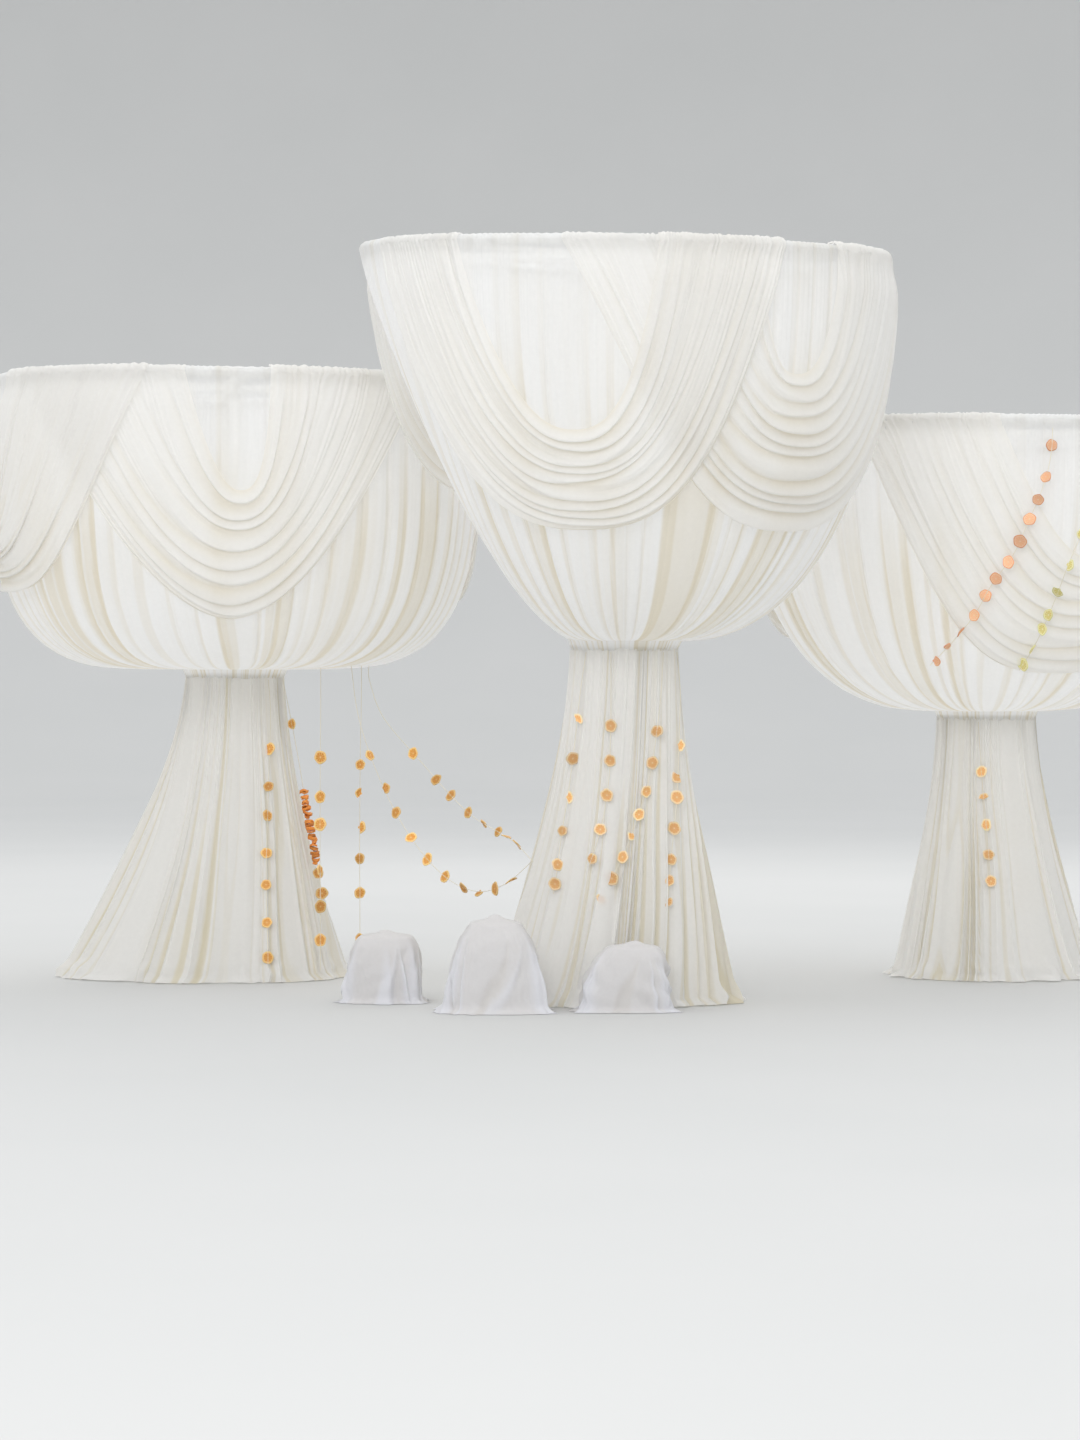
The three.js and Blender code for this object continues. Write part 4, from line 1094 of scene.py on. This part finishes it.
def lathe_piece(name, profile, place):
    """A round piece from (radius, height) pairs, closed at both ends."""
    turns = np.linspace(0, 2 * np.pi, ROUND_SIDES, endpoint=False)
    points = [(place[0] + radius * math.cos(turn), place[1] + radius * math.sin(turn), height)
              for radius, height in profile for turn in turns]
    piece = mesh_piece(name, points, round_faces(len(profile), ROUND_SIDES))
    for polygon in piece.data.polygons[:-2]:
        polygon.use_smooth = True
    piece.data.set_sharp_from_angle(angle=SHARP_ANGLE)
    return piece


masts, plates = {}, {}
for name, stand in STANDS.items():
    top = stand["ring"] + MAST_OVER_RING
    mast_profile = [(MAST_RADIUS - 0.001, 0.012), (MAST_RADIUS, 0.013), (MAST_RADIUS, top - 0.004),
                    (MAST_RADIUS - 0.001, top - 0.0012), (MAST_RADIUS - 0.004, top)]
    masts[name] = lathe_piece(name + "_mast_tube", mast_profile, stand["place"])
    plates[name] = lathe_piece(name + "_plate", PLATE_PROFILE, stand["place"])
print("round steel pieces:", len(masts) + len(plates))

# %% [markdown]
# Screws hold the mast in its socket and the hoop's collar on the mast, and four more go through
# the base plate. Each head is a small hexagon with a chamfer, set on the metal and facing out.

# %% Screws in the sockets, hoop collars and plates
SCREW_RADIUS = 0.005
SCREW_SIDES = 6
SCREW_ROUNDS = [(SCREW_RADIUS, 0.0), (SCREW_RADIUS, 0.0035), (SCREW_RADIUS * 0.8, 0.0045)]
SCREW_TURNS = (0.4, 2.5, 4.6)
SOCKET_SCREWS = (0.0322, 0.070)
COLLAR_SCREW_RADIUS = 0.0355
COLLAR_SCREW_DROP = 0.020
PLATE_SCREWS = (0.120, 0.0118)


def screw_points(centre, out):
    """Rounds of one hexagon head, which sits on centre and faces the way that out points."""
    out = np.array(out) / np.linalg.norm(out)
    side = np.cross(out, [0, 0, 1.0]) if abs(out[2]) < 0.9 else np.array([1.0, 0, 0])
    side /= np.linalg.norm(side)
    other = np.cross(out, side)
    turns = [2 * math.pi * j / SCREW_SIDES for j in range(SCREW_SIDES)]
    return [np.array(centre) + out * rise + radius * (side * math.cos(turn) + other * math.sin(turn))
            for radius, rise in SCREW_ROUNDS for turn in turns]


def screws_piece(name, places):
    points, faces = [], []
    for centre, out in places:
        faces += round_faces(len(SCREW_ROUNDS), SCREW_SIDES, len(points), first_cap=False)
        points += screw_points(centre, out)
    return mesh_piece(name, points, faces)


def beside_mast(stand, turn, radius, height):
    x, y = stand["place"]
    return x + radius * math.cos(turn), y + radius * math.sin(turn), height


screws = {}
for name, stand in STANDS.items():
    collar_screws = (COLLAR_SCREW_RADIUS, waist_height(stand) - COLLAR_SCREW_DROP)
    places = []
    for turn in SCREW_TURNS:
        out = (math.cos(turn), math.sin(turn), 0.0)
        places.append((beside_mast(stand, turn, *SOCKET_SCREWS), out))
        places.append((beside_mast(stand, turn, *collar_screws), out))
    for turn in np.linspace(0, 2 * math.pi, 4, endpoint=False):
        places.append((beside_mast(stand, turn, *PLATE_SCREWS), (0.0, 0.0, 1.0)))
    screws[name] = screws_piece(name + "_screws", places)
    print(f"{name} screws: {len(places)}")

# %% [markdown]
# Shared effects are shader node groups with named sockets. One paints shade on cloth: creases
# and pleat valleys get a warmer, darker painted shade, and the dye is never quite even. One
# gives the fine crossed weave as a height. One wears metal here and there, and one draws a dried
# slice from the rim to the middle. The helpers add a node, and set or link its inputs.

# %% Shader helpers
COLOUR = "NodeSocketColor"
VALUE = "NodeSocketFloat"


def fill(tree, made, inputs):
    """Sets inputs of a node: links the ones given as an output, and gives the others a value."""
    for key, value in inputs.items():
        if isinstance(value, bpy.types.NodeSocket):
            tree.links.new(value, made.inputs[key])
        else:
            made.inputs[key].default_value = value


def node(tree, kind, inputs=None, **settings):
    made = tree.nodes.new("ShaderNode" + kind)
    for key, value in settings.items():
        setattr(made, key, value)
    fill(tree, made, inputs or {})
    return made


def math_node(tree, operation, first, second=0.5):
    return node(tree, "Math", {0: first, 1: second}, operation=operation).outputs[0]


def mix_colour(tree, factor, first, second):
    return node(tree, "Mix", {0: factor, 6: first, 7: second}, data_type="RGBA").outputs[2]


def scaled_colour(tree, colour, level):
    return node(tree, "VectorMath", {0: colour, "Scale": level}, operation="SCALE").outputs[0]


def ramp(tree, value, low, high):
    """0 below low, 1 above high, and even between them."""
    return node(tree, "MapRange", {"Value": value, "From Min": low, "From Max": high}).outputs["Result"]


def noise(tree, scale, detail=2, roughness=0.5):
    place = node(tree, "TexCoord").outputs["Object"]
    inputs = {"Vector": place, "Scale": scale, "Detail": detail, "Roughness": roughness}
    return node(tree, "TexNoise", inputs).outputs["Fac"]


def bump(tree, height, strength, distance):
    inputs = {"Height": height, "Strength": strength, "Distance": distance}
    return node(tree, "Bump", inputs).outputs["Normal"]


def new_group(name, inputs, outputs):
    """A group with named sockets: inputs give each one's first value, outputs each one's kind."""
    group = bpy.data.node_groups.new(name, "ShaderNodeTree")
    for socket_name, value in inputs.items():
        kind = COLOUR if isinstance(value, tuple) else VALUE
        socket = group.interface.new_socket(name=socket_name, in_out="INPUT", socket_type=kind)
        socket.default_value = value
    for socket_name, kind in outputs.items():
        group.interface.new_socket(name=socket_name, in_out="OUTPUT", socket_type=kind)
    return group, group.nodes.new("NodeGroupInput").outputs, group.nodes.new("NodeGroupOutput")


def use_group(tree, group, inputs=None):
    return node(tree, "Group", inputs, node_tree=group).outputs


def new_material(name):
    material = bpy.data.materials.new(name)
    material.use_nodes = True
    return material, material.node_tree, material.node_tree.nodes["Principled BSDF"]


print("shader helpers ready")

# %% Cloth painted shade and dye group
shade_and_dye, shade_and_dye_in, shade_and_dye_out = new_group(
    "cloth painted shade and dye",
    {"Crest Colour": (0.9, 0.9, 0.9, 1), "Painted Crease Shade": (0.8, 0.76, 0.66, 1),
     "Painted Shade Strength": 0.6, "Mottle": 0.05},
    {"Colour": COLOUR})
# Painted shade: where the kept painted light is low, the colour mixes towards the crease shade colour; the
# cloud and specks are uneven dye.
fold = node(shade_and_dye, "Attribute", attribute_name="painted_fold_light").outputs["Fac"]
crease = math_node(shade_and_dye, "POWER", math_node(shade_and_dye, "SUBTRACT", 1.0, fold), 1.6)
crease = math_node(shade_and_dye, "MULTIPLY", crease, shade_and_dye_in["Painted Shade Strength"])
cloud = math_node(shade_and_dye, "MULTIPLY", math_node(shade_and_dye, "SUBTRACT", noise(shade_and_dye, 2.2, detail=3), 0.5), 0.3)
factor = node(shade_and_dye, "Math", {0: crease, 1: cloud}, operation="ADD", use_clamp=True).outputs[0]
blended = mix_colour(shade_and_dye, factor, shade_and_dye_in["Crest Colour"], shade_and_dye_in["Painted Crease Shade"])
speck = math_node(shade_and_dye, "MULTIPLY", noise(shade_and_dye, 60), shade_and_dye_in["Mottle"])
fill(shade_and_dye, shade_and_dye_out, {"Colour": scaled_colour(shade_and_dye, blended, math_node(shade_and_dye, "SUBTRACT", 1.0, speck))})
print("group:", shade_and_dye.name)

# %% Cloth weave group
weave, weave_in, weave_out = new_group(
    "crossed weave", {"Threads per Metre": 1500.0, "Slub": 0.4}, {"Height": VALUE})
place = node(weave, "TexCoord").outputs["Object"]
line_inputs = {"Vector": place, "Scale": weave_in["Threads per Metre"], "Distortion": 1.2}
lines = [node(weave, "TexWave", line_inputs, wave_type="BANDS", bands_direction=direction)
         for direction in ("X", "Z")]
crossed = math_node(weave, "MULTIPLY", lines[0].outputs["Fac"], lines[1].outputs["Fac"])
slub = math_node(weave, "MULTIPLY", noise(weave, 240, detail=4), weave_in["Slub"])
fill(weave, weave_out, {"Height": math_node(weave, "ADD", crossed, slub)})
print("group:", weave.name)

# %% Metal wear group
wear, wear_in, wear_out = new_group(
    "metal wear",
    {"Base Colour": (0.8, 0.8, 0.8, 1), "Worn Colour": (0.5, 0.5, 0.5, 1), "Wear": 0.2, "Roughness": 0.4},
    {"Colour": COLOUR, "Roughness": VALUE, "Height": VALUE})
SCUFFED = (0.52, 0.68)
scuff = noise(wear, 22, detail=8, roughness=0.65)
worn = math_node(wear, "MULTIPLY", ramp(wear, scuff, *SCUFFED), wear_in["Wear"])
uneven = math_node(wear, "MULTIPLY", math_node(wear, "SUBTRACT", scuff, 0.5), 0.35)
fill(wear, wear_out, {
    "Colour": mix_colour(wear, worn, wear_in["Base Colour"], wear_in["Worn Colour"]),
    "Roughness": math_node(wear, "ADD", wear_in["Roughness"], uneven),
    "Height": math_node(wear, "SUBTRACT", noise(wear, 420), worn),
})
print("group:", wear.name)

# %% Dried slice group
# Where each part begins and is full: distances from the middle of the map, whose rim is at 0.5.
CORE = (0.03, 0.09)
PITH_RING = (0.35, 0.37)
RIND = (0.405, 0.43)
# The same for the walls between segments, by how far round a segment a place is.
WALLS = (0.12, 0.38)

fruit, fruit_in, fruit_out = new_group(
    "dried slice",
    {"Rind Colour": (0.75, 0.3, 0.05, 1), "Flesh Colour": (0.9, 0.5, 0.2, 1),
     "Pith Colour": (0.9, 0.8, 0.6, 1), "Segments": 10.0},
    {"Colour": COLOUR, "Height": VALUE})
flat_map = node(fruit, "UVMap", uv_map="slice_map").outputs["UV"]
centred = node(fruit, "VectorMath", {0: flat_map, 1: (0.5, 0.5, 0.0)}, operation="SUBTRACT").outputs[0]
reach = node(fruit, "VectorMath", {0: centred}, operation="LENGTH").outputs["Value"]
parts = node(fruit, "SeparateXYZ", {0: centred}).outputs
around = math_node(fruit, "ARCTAN2", parts["Y"], parts["X"])
around = math_node(fruit, "MULTIPLY", around, fruit_in["Segments"])
wedge = math_node(fruit, "ABSOLUTE", math_node(fruit, "SINE", math_node(fruit, "MULTIPLY", around, 0.5)))
walls = ramp(fruit, wedge, *WALLS)
pith = fruit_in["Pith Colour"]
inner = mix_colour(fruit, walls, pith, fruit_in["Flesh Colour"])
inner = mix_colour(fruit, ramp(fruit, reach, *CORE), pith, inner)
inner = mix_colour(fruit, ramp(fruit, reach, *PITH_RING), inner, pith)
whole = mix_colour(fruit, ramp(fruit, reach, *RIND), inner, fruit_in["Rind Colour"])
tone = node(fruit, "Attribute", attribute_name="slice_tone").outputs["Fac"]
browning = math_node(fruit, "ADD", math_node(fruit, "MULTIPLY", tone, 0.5), 0.72)
pulp = math_node(fruit, "SUBTRACT", noise(fruit, 260, detail=5), math_node(fruit, "MULTIPLY", walls, 0.5))
fill(fruit, fruit_out, {"Colour": scaled_colour(fruit, whole, browning), "Height": pulp})
print("group:", fruit.name)

# %% [markdown]
# Chiffon lets light through: seen against the light it glows, and where it turns edge-on to the
# eye more threads overlap and it looks denser. So each cloth mixes a plain matt surface with a
# translucent one, and then with a clear one whose share falls towards the edges of each fold. The
# liner is the sheerest and the swags are in soft folds of ivory. Every cloth gets a warmer, darker
# painted shade in its creases, creamiest on the skirts.

# %% Cloth materials
def cloth_material(name, crest, crease, strength, through, sheer, sheen, weave_size=0.00012):
    """A cloth that is white on its crests, with a warmer, darker painted shade in its creases, as strongly as
    strength says.

    through is the share of light that the cloth passes on, sheer the most that shows clear
    through it.
    """
    material, tree, surface = new_material(name)
    shade_inputs = {"Crest Colour": crest, "Painted Crease Shade": crease, "Painted Shade Strength": strength}
    colour = use_group(tree, shade_and_dye, shade_inputs)["Colour"]
    normal = bump(tree, use_group(tree, weave)["Height"], strength=0.35, distance=weave_size)
    fill(tree, surface, {"Base Color": colour, "Roughness": 0.86, "Specular IOR Level": 0.25,
                         "Sheen Weight": sheen, "Sheen Roughness": 0.45, "Normal": normal})
    glow = node(tree, "BsdfTranslucent", {"Color": colour, "Normal": normal}).outputs[0]
    body = node(tree, "MixShader", {"Fac": through, 1: surface.outputs[0], 2: glow}).outputs[0]
    facing = node(tree, "LayerWeight", {"Blend": 0.5}).outputs["Facing"]
    clear = node(tree, "BsdfTransparent").outputs[0]
    clear_inputs = {"Value": facing, "From Min": 0.0, "From Max": 0.75, "To Min": sheer, "To Max": 0.0}
    clear_share = node(tree, "MapRange", clear_inputs).outputs["Result"]
    whole = node(tree, "MixShader", {"Fac": clear_share, 1: body, 2: clear}).outputs[0]
    fill(tree, tree.nodes["Material Output"], {"Surface": whole})
    return material


# Each cloth's second colour is the painted shade in its creases.
liner_cloth = cloth_material("sheer white chiffon", (0.945, 0.945, 0.945, 1), (0.81, 0.75, 0.62, 1),
                             strength=1.0, through=0.58, sheer=0.22, sheen=0.15)
swag_cloth = cloth_material("ivory chiffon in folds", (0.955, 0.945, 0.925, 1), (0.87, 0.82, 0.71, 1),
                            strength=0.75, through=0.46, sheer=0.06, sheen=0.2)
skirt_cloth = cloth_material("cream chiffon", (0.955, 0.945, 0.925, 1), (0.82, 0.75, 0.57, 1),
                             strength=0.85, through=0.40, sheer=0.08, sheen=0.2)
# The cover's own colour is painted greyer and a little bluer than the other white cloths, a cool painted
# shade over all of it.
cover_cloth = cloth_material("white cover cloth", (0.83, 0.83, 0.865, 1), (0.74, 0.71, 0.68, 1),
                             strength=0.8, through=0.22, sheer=0.0, sheen=0.2, weave_size=0.0002)
print("cloths:", liner_cloth.name, "|", swag_cloth.name, "|", skirt_cloth.name, "|", cover_cloth.name)

# %% [markdown]
# The steel is painted white above and bare and scuffed at the base plates, and the screws are
# zinc plated. All of them use the wear group, with their own colours.

# %% Steel materials
def steel_material(name, base, worn, wear_share, roughness, metallic):
    material, tree, surface = new_material(name)
    wear_inputs = {"Base Colour": base, "Worn Colour": worn, "Wear": wear_share, "Roughness": roughness}
    steel = use_group(tree, wear, wear_inputs)
    fill(tree, surface, {"Base Color": steel["Colour"], "Roughness": steel["Roughness"], "Metallic": metallic,
                         "Normal": bump(tree, steel["Height"], strength=0.15, distance=0.0004)})
    return material


white_paint = steel_material("white painted steel", (0.84, 0.84, 0.82, 1), (0.52, 0.50, 0.47, 1),
                             wear_share=0.5, roughness=0.38, metallic=0.0)
plate_steel = steel_material("bare plate steel", (0.46, 0.47, 0.48, 1), (0.26, 0.23, 0.20, 1),
                             wear_share=0.7, roughness=0.42, metallic=0.9)
zinc = steel_material("zinc screws", (0.62, 0.62, 0.60, 1), (0.4, 0.38, 0.34, 1),
                      wear_share=0.4, roughness=0.3, metallic=1.0)
print("metals:", white_paint.name, "|", plate_steel.name, "|", zinc.name)

# %% [markdown]
# A dried slice is leathery and lets a little light into its flesh, so it has some subsurface
# light as well as the drawn colours and a rough pulp. The thread is matt and mottled.

# %% Slice and thread materials
def slice_material(name, rind, flesh, pith):
    material, tree, surface = new_material(name)
    drawn = use_group(tree, fruit, {"Rind Colour": rind, "Flesh Colour": flesh, "Pith Colour": pith})
    fill(tree, surface, {"Base Color": drawn["Colour"], "Roughness": 0.55, "Subsurface Weight": 0.25,
                         "Subsurface Radius": (0.012, 0.006, 0.002),
                         "Normal": bump(tree, drawn["Height"], strength=0.5, distance=0.0012)})
    return material


def mottled_material(name, scale, first, second, roughness, shine=0.5):
    """Two near colours, mixed finely or broadly as scale says."""
    material, tree, surface = new_material(name)
    fill(tree, surface, {"Base Color": mix_colour(tree, noise(tree, scale), first, second),
                         "Roughness": roughness, "Specular IOR Level": shine})
    return material


orange_slice = slice_material("dried orange", (0.93, 0.62, 0.26, 1), (0.74, 0.30, 0.04, 1),
                              (0.95, 0.64, 0.26, 1))
tan_slice = slice_material("pale dried orange", (0.94, 0.72, 0.46, 1), (0.80, 0.40, 0.13, 1),
                           (0.95, 0.70, 0.40, 1))
peach_slice = slice_material("dried peach", (0.80, 0.36, 0.18, 1), (0.90, 0.48, 0.27, 1),
                             (0.92, 0.60, 0.40, 1))
lime_slice = slice_material("dried lime", (0.80, 0.76, 0.34, 1), (0.76, 0.66, 0.22, 1),
                            (0.94, 0.88, 0.56, 1))
stack_slice = slice_material("dried slices in a stack", (0.80, 0.28, 0.05, 1), (0.86, 0.34, 0.08, 1),
                             (0.90, 0.44, 0.14, 1))
thread_material = mottled_material("natural thread", scale=900, first=(0.86, 0.82, 0.72, 1),
                                   second=(0.70, 0.64, 0.50, 1), roughness=0.8)
print("slices and thread ready")

# %% [markdown]
# Now each piece is dressed: it gets its material, takes the place of its solid and rides on the
# canopy's one body.

# %% Dress the cloth
def paint(piece, material):
    piece.data.materials.clear()
    piece.data.materials.append(material)


def dress(piece, slot, material, *nodes):
    paint(piece, material)
    if nodes:
        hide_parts(*nodes)
    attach(piece, "root")


def declare_sheet(name):
    down, across, area = flat_sizes[name]
    flat = (round(across, 2), round(down, 2))
    area = round(min(area, flat[0] * flat[1]), 2)


for name in STANDS:
    liner, skirt = name + "_liner", name + "_skirt"
    dress(cloths[liner], "liner", liner_cloth, liner, liner + "_gather")
    dress(cloths[skirt], "skirt", skirt_cloth, skirt)
    declare_sheet(liner)
    declare_sheet(skirt)
for name, stand_name in swag_names.items():
    dress(cloths[name], "swag", swag_cloth, name)
    declare_sheet(name)
for name in COVERS:
    dress(cloths[name], "weight_cover", cover_cloth, name)
    declare_sheet(name)
print("cloths dressed:", len(cloths))

# %% Dress the steel
EDGE_WIDTH = 0.0015
EDGE_ANGLE = math.radians(40)

for name in STANDS:
    dress(masts[name], "white_metal", white_paint, name + "_mast")
    dress(plates[name], "base_steel", plate_steel, name + "_base_plate")
    dress(screws[name], "white_metal", zinc)
    for part in ("hub_arms", "ring", "waist_hoop"):
        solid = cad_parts[f"{name}_{part}"]
        paint(solid, white_paint)
        edge = solid.modifiers.new("soft edges", "BEVEL")
        edge.width = EDGE_WIDTH
        edge.segments = 2
        edge.limit_method = "ANGLE"
        edge.angle_limit = EDGE_ANGLE
print("steel dressed")

# %% Dress the strings
SLICE_FINISH = {"right_string_1": peach_slice, "right_string_2": lime_slice, "right_string_3": tan_slice}
SLICE_FINISH.update({f"centre_string_{i}": tan_slice for i in (1, 2, 3, 4)})

for name, thread in threads.items():
    dress(thread, "dried_fruit", thread_material, name)
    dress(slices[name], "dried_fruit", SLICE_FINISH.get(name, orange_slice))
    if "stack" in STRINGS[name]:
        dress(stack, "dried_fruit", stack_slice)
    line = STRING_LINES[name]
print("strings dressed:", len(threads))

# %% [markdown]
# The studio is a wide pale dish: flat under the canopy and curved up all round far behind it, so
# there is no horizon line from any side. It belongs to the stage, not to the canopy.

# %% Studio dish
DISH_FLAT = 24.0
DISH_RISE = 12.0
DISH_SIDES = 96

dish_profile = [(DISH_FLAT * 0.5, 0.0), (DISH_FLAT, 0.0)]
for tilt in np.linspace(0.1, 1.5, 14):
    dish_profile.append((DISH_FLAT + DISH_RISE * math.sin(tilt), DISH_RISE * (1 - math.cos(tilt))))
turns = np.linspace(0, 2 * np.pi, DISH_SIDES, endpoint=False)
dish_points = np.array([[(r * math.cos(t), r * math.sin(t), z) for t in turns] for r, z in dish_profile])
studio = grid_mesh("studio_floor", dish_points, np.zeros(dish_points.shape[:2]), ring_closed=True)
studio_middle = mesh_piece("studio_middle", dish_points[0], [tuple(range(DISH_SIDES))])
floor_material = mottled_material("pale studio floor", scale=0.6, first=(0.57, 0.575, 0.57, 1),
                                  second=(0.60, 0.60, 0.595, 1), roughness=0.9, shine=0.2)
for piece in (studio, studio_middle):
    paint(piece, floor_material)
print("studio dish", DISH_FLAT + DISH_RISE, "m in radius")

# %% [markdown]
# Light in the photograph is bright, soft and comes from the sky above, as on an overcast day.
# The world does the same: it is brightest overhead and dimmer near the ground. One large area
# light behind shines through the cloth, and one far in front, high and a little to the left,
# draws the folds.

# %% Lights
LAMP_SIZE = (12, 8)
SKY_COLOUR = (0.97, 0.985, 1.0, 1)
SKY_AT_HORIZON = 0.58
SKY_OVERHEAD = 1.4


def area_light(name, place, aim, power, colour):
    data = bpy.data.lights.new(name, "AREA")
    data.shape = "RECTANGLE"
    data.size, data.size_y = LAMP_SIZE
    data.energy = power
    data.color = colour
    lamp = place_piece(name, data)
    lamp.location = place
    x, y, z = np.array(place) - np.array(aim)
    lamp.rotation_euler = (math.atan2(math.hypot(x, y), z), 0, math.atan2(x, -y))
    lamp.visible_camera = False


area_light("sky behind", place=(2.5, 9.5, 9.5), aim=(0, 0.6, 1.5), power=370, colour=(1.0, 0.98, 0.95))
area_light("open shade in front", place=(-3.5, -20.0, 11.0), aim=(0, 0.6, 1.4), power=1400,
           colour=(1.0, 0.99, 0.98))

world = bpy.data.worlds.new("studio")
world.use_nodes = True
sky = world.node_tree
upward = node(sky, "SeparateXYZ", {0: node(sky, "TexCoord").outputs["Generated"]}).outputs["Z"]
level = node(sky, "MapRange", {"Value": upward, "To Min": SKY_AT_HORIZON, "To Max": SKY_OVERHEAD})
fill(sky, sky.nodes["Background"], {"Color": SKY_COLOUR, "Strength": level.outputs["Result"]})
bpy.context.scene.world = world
bpy.context.scene.view_settings.view_transform = "Standard"
print("lights ready")
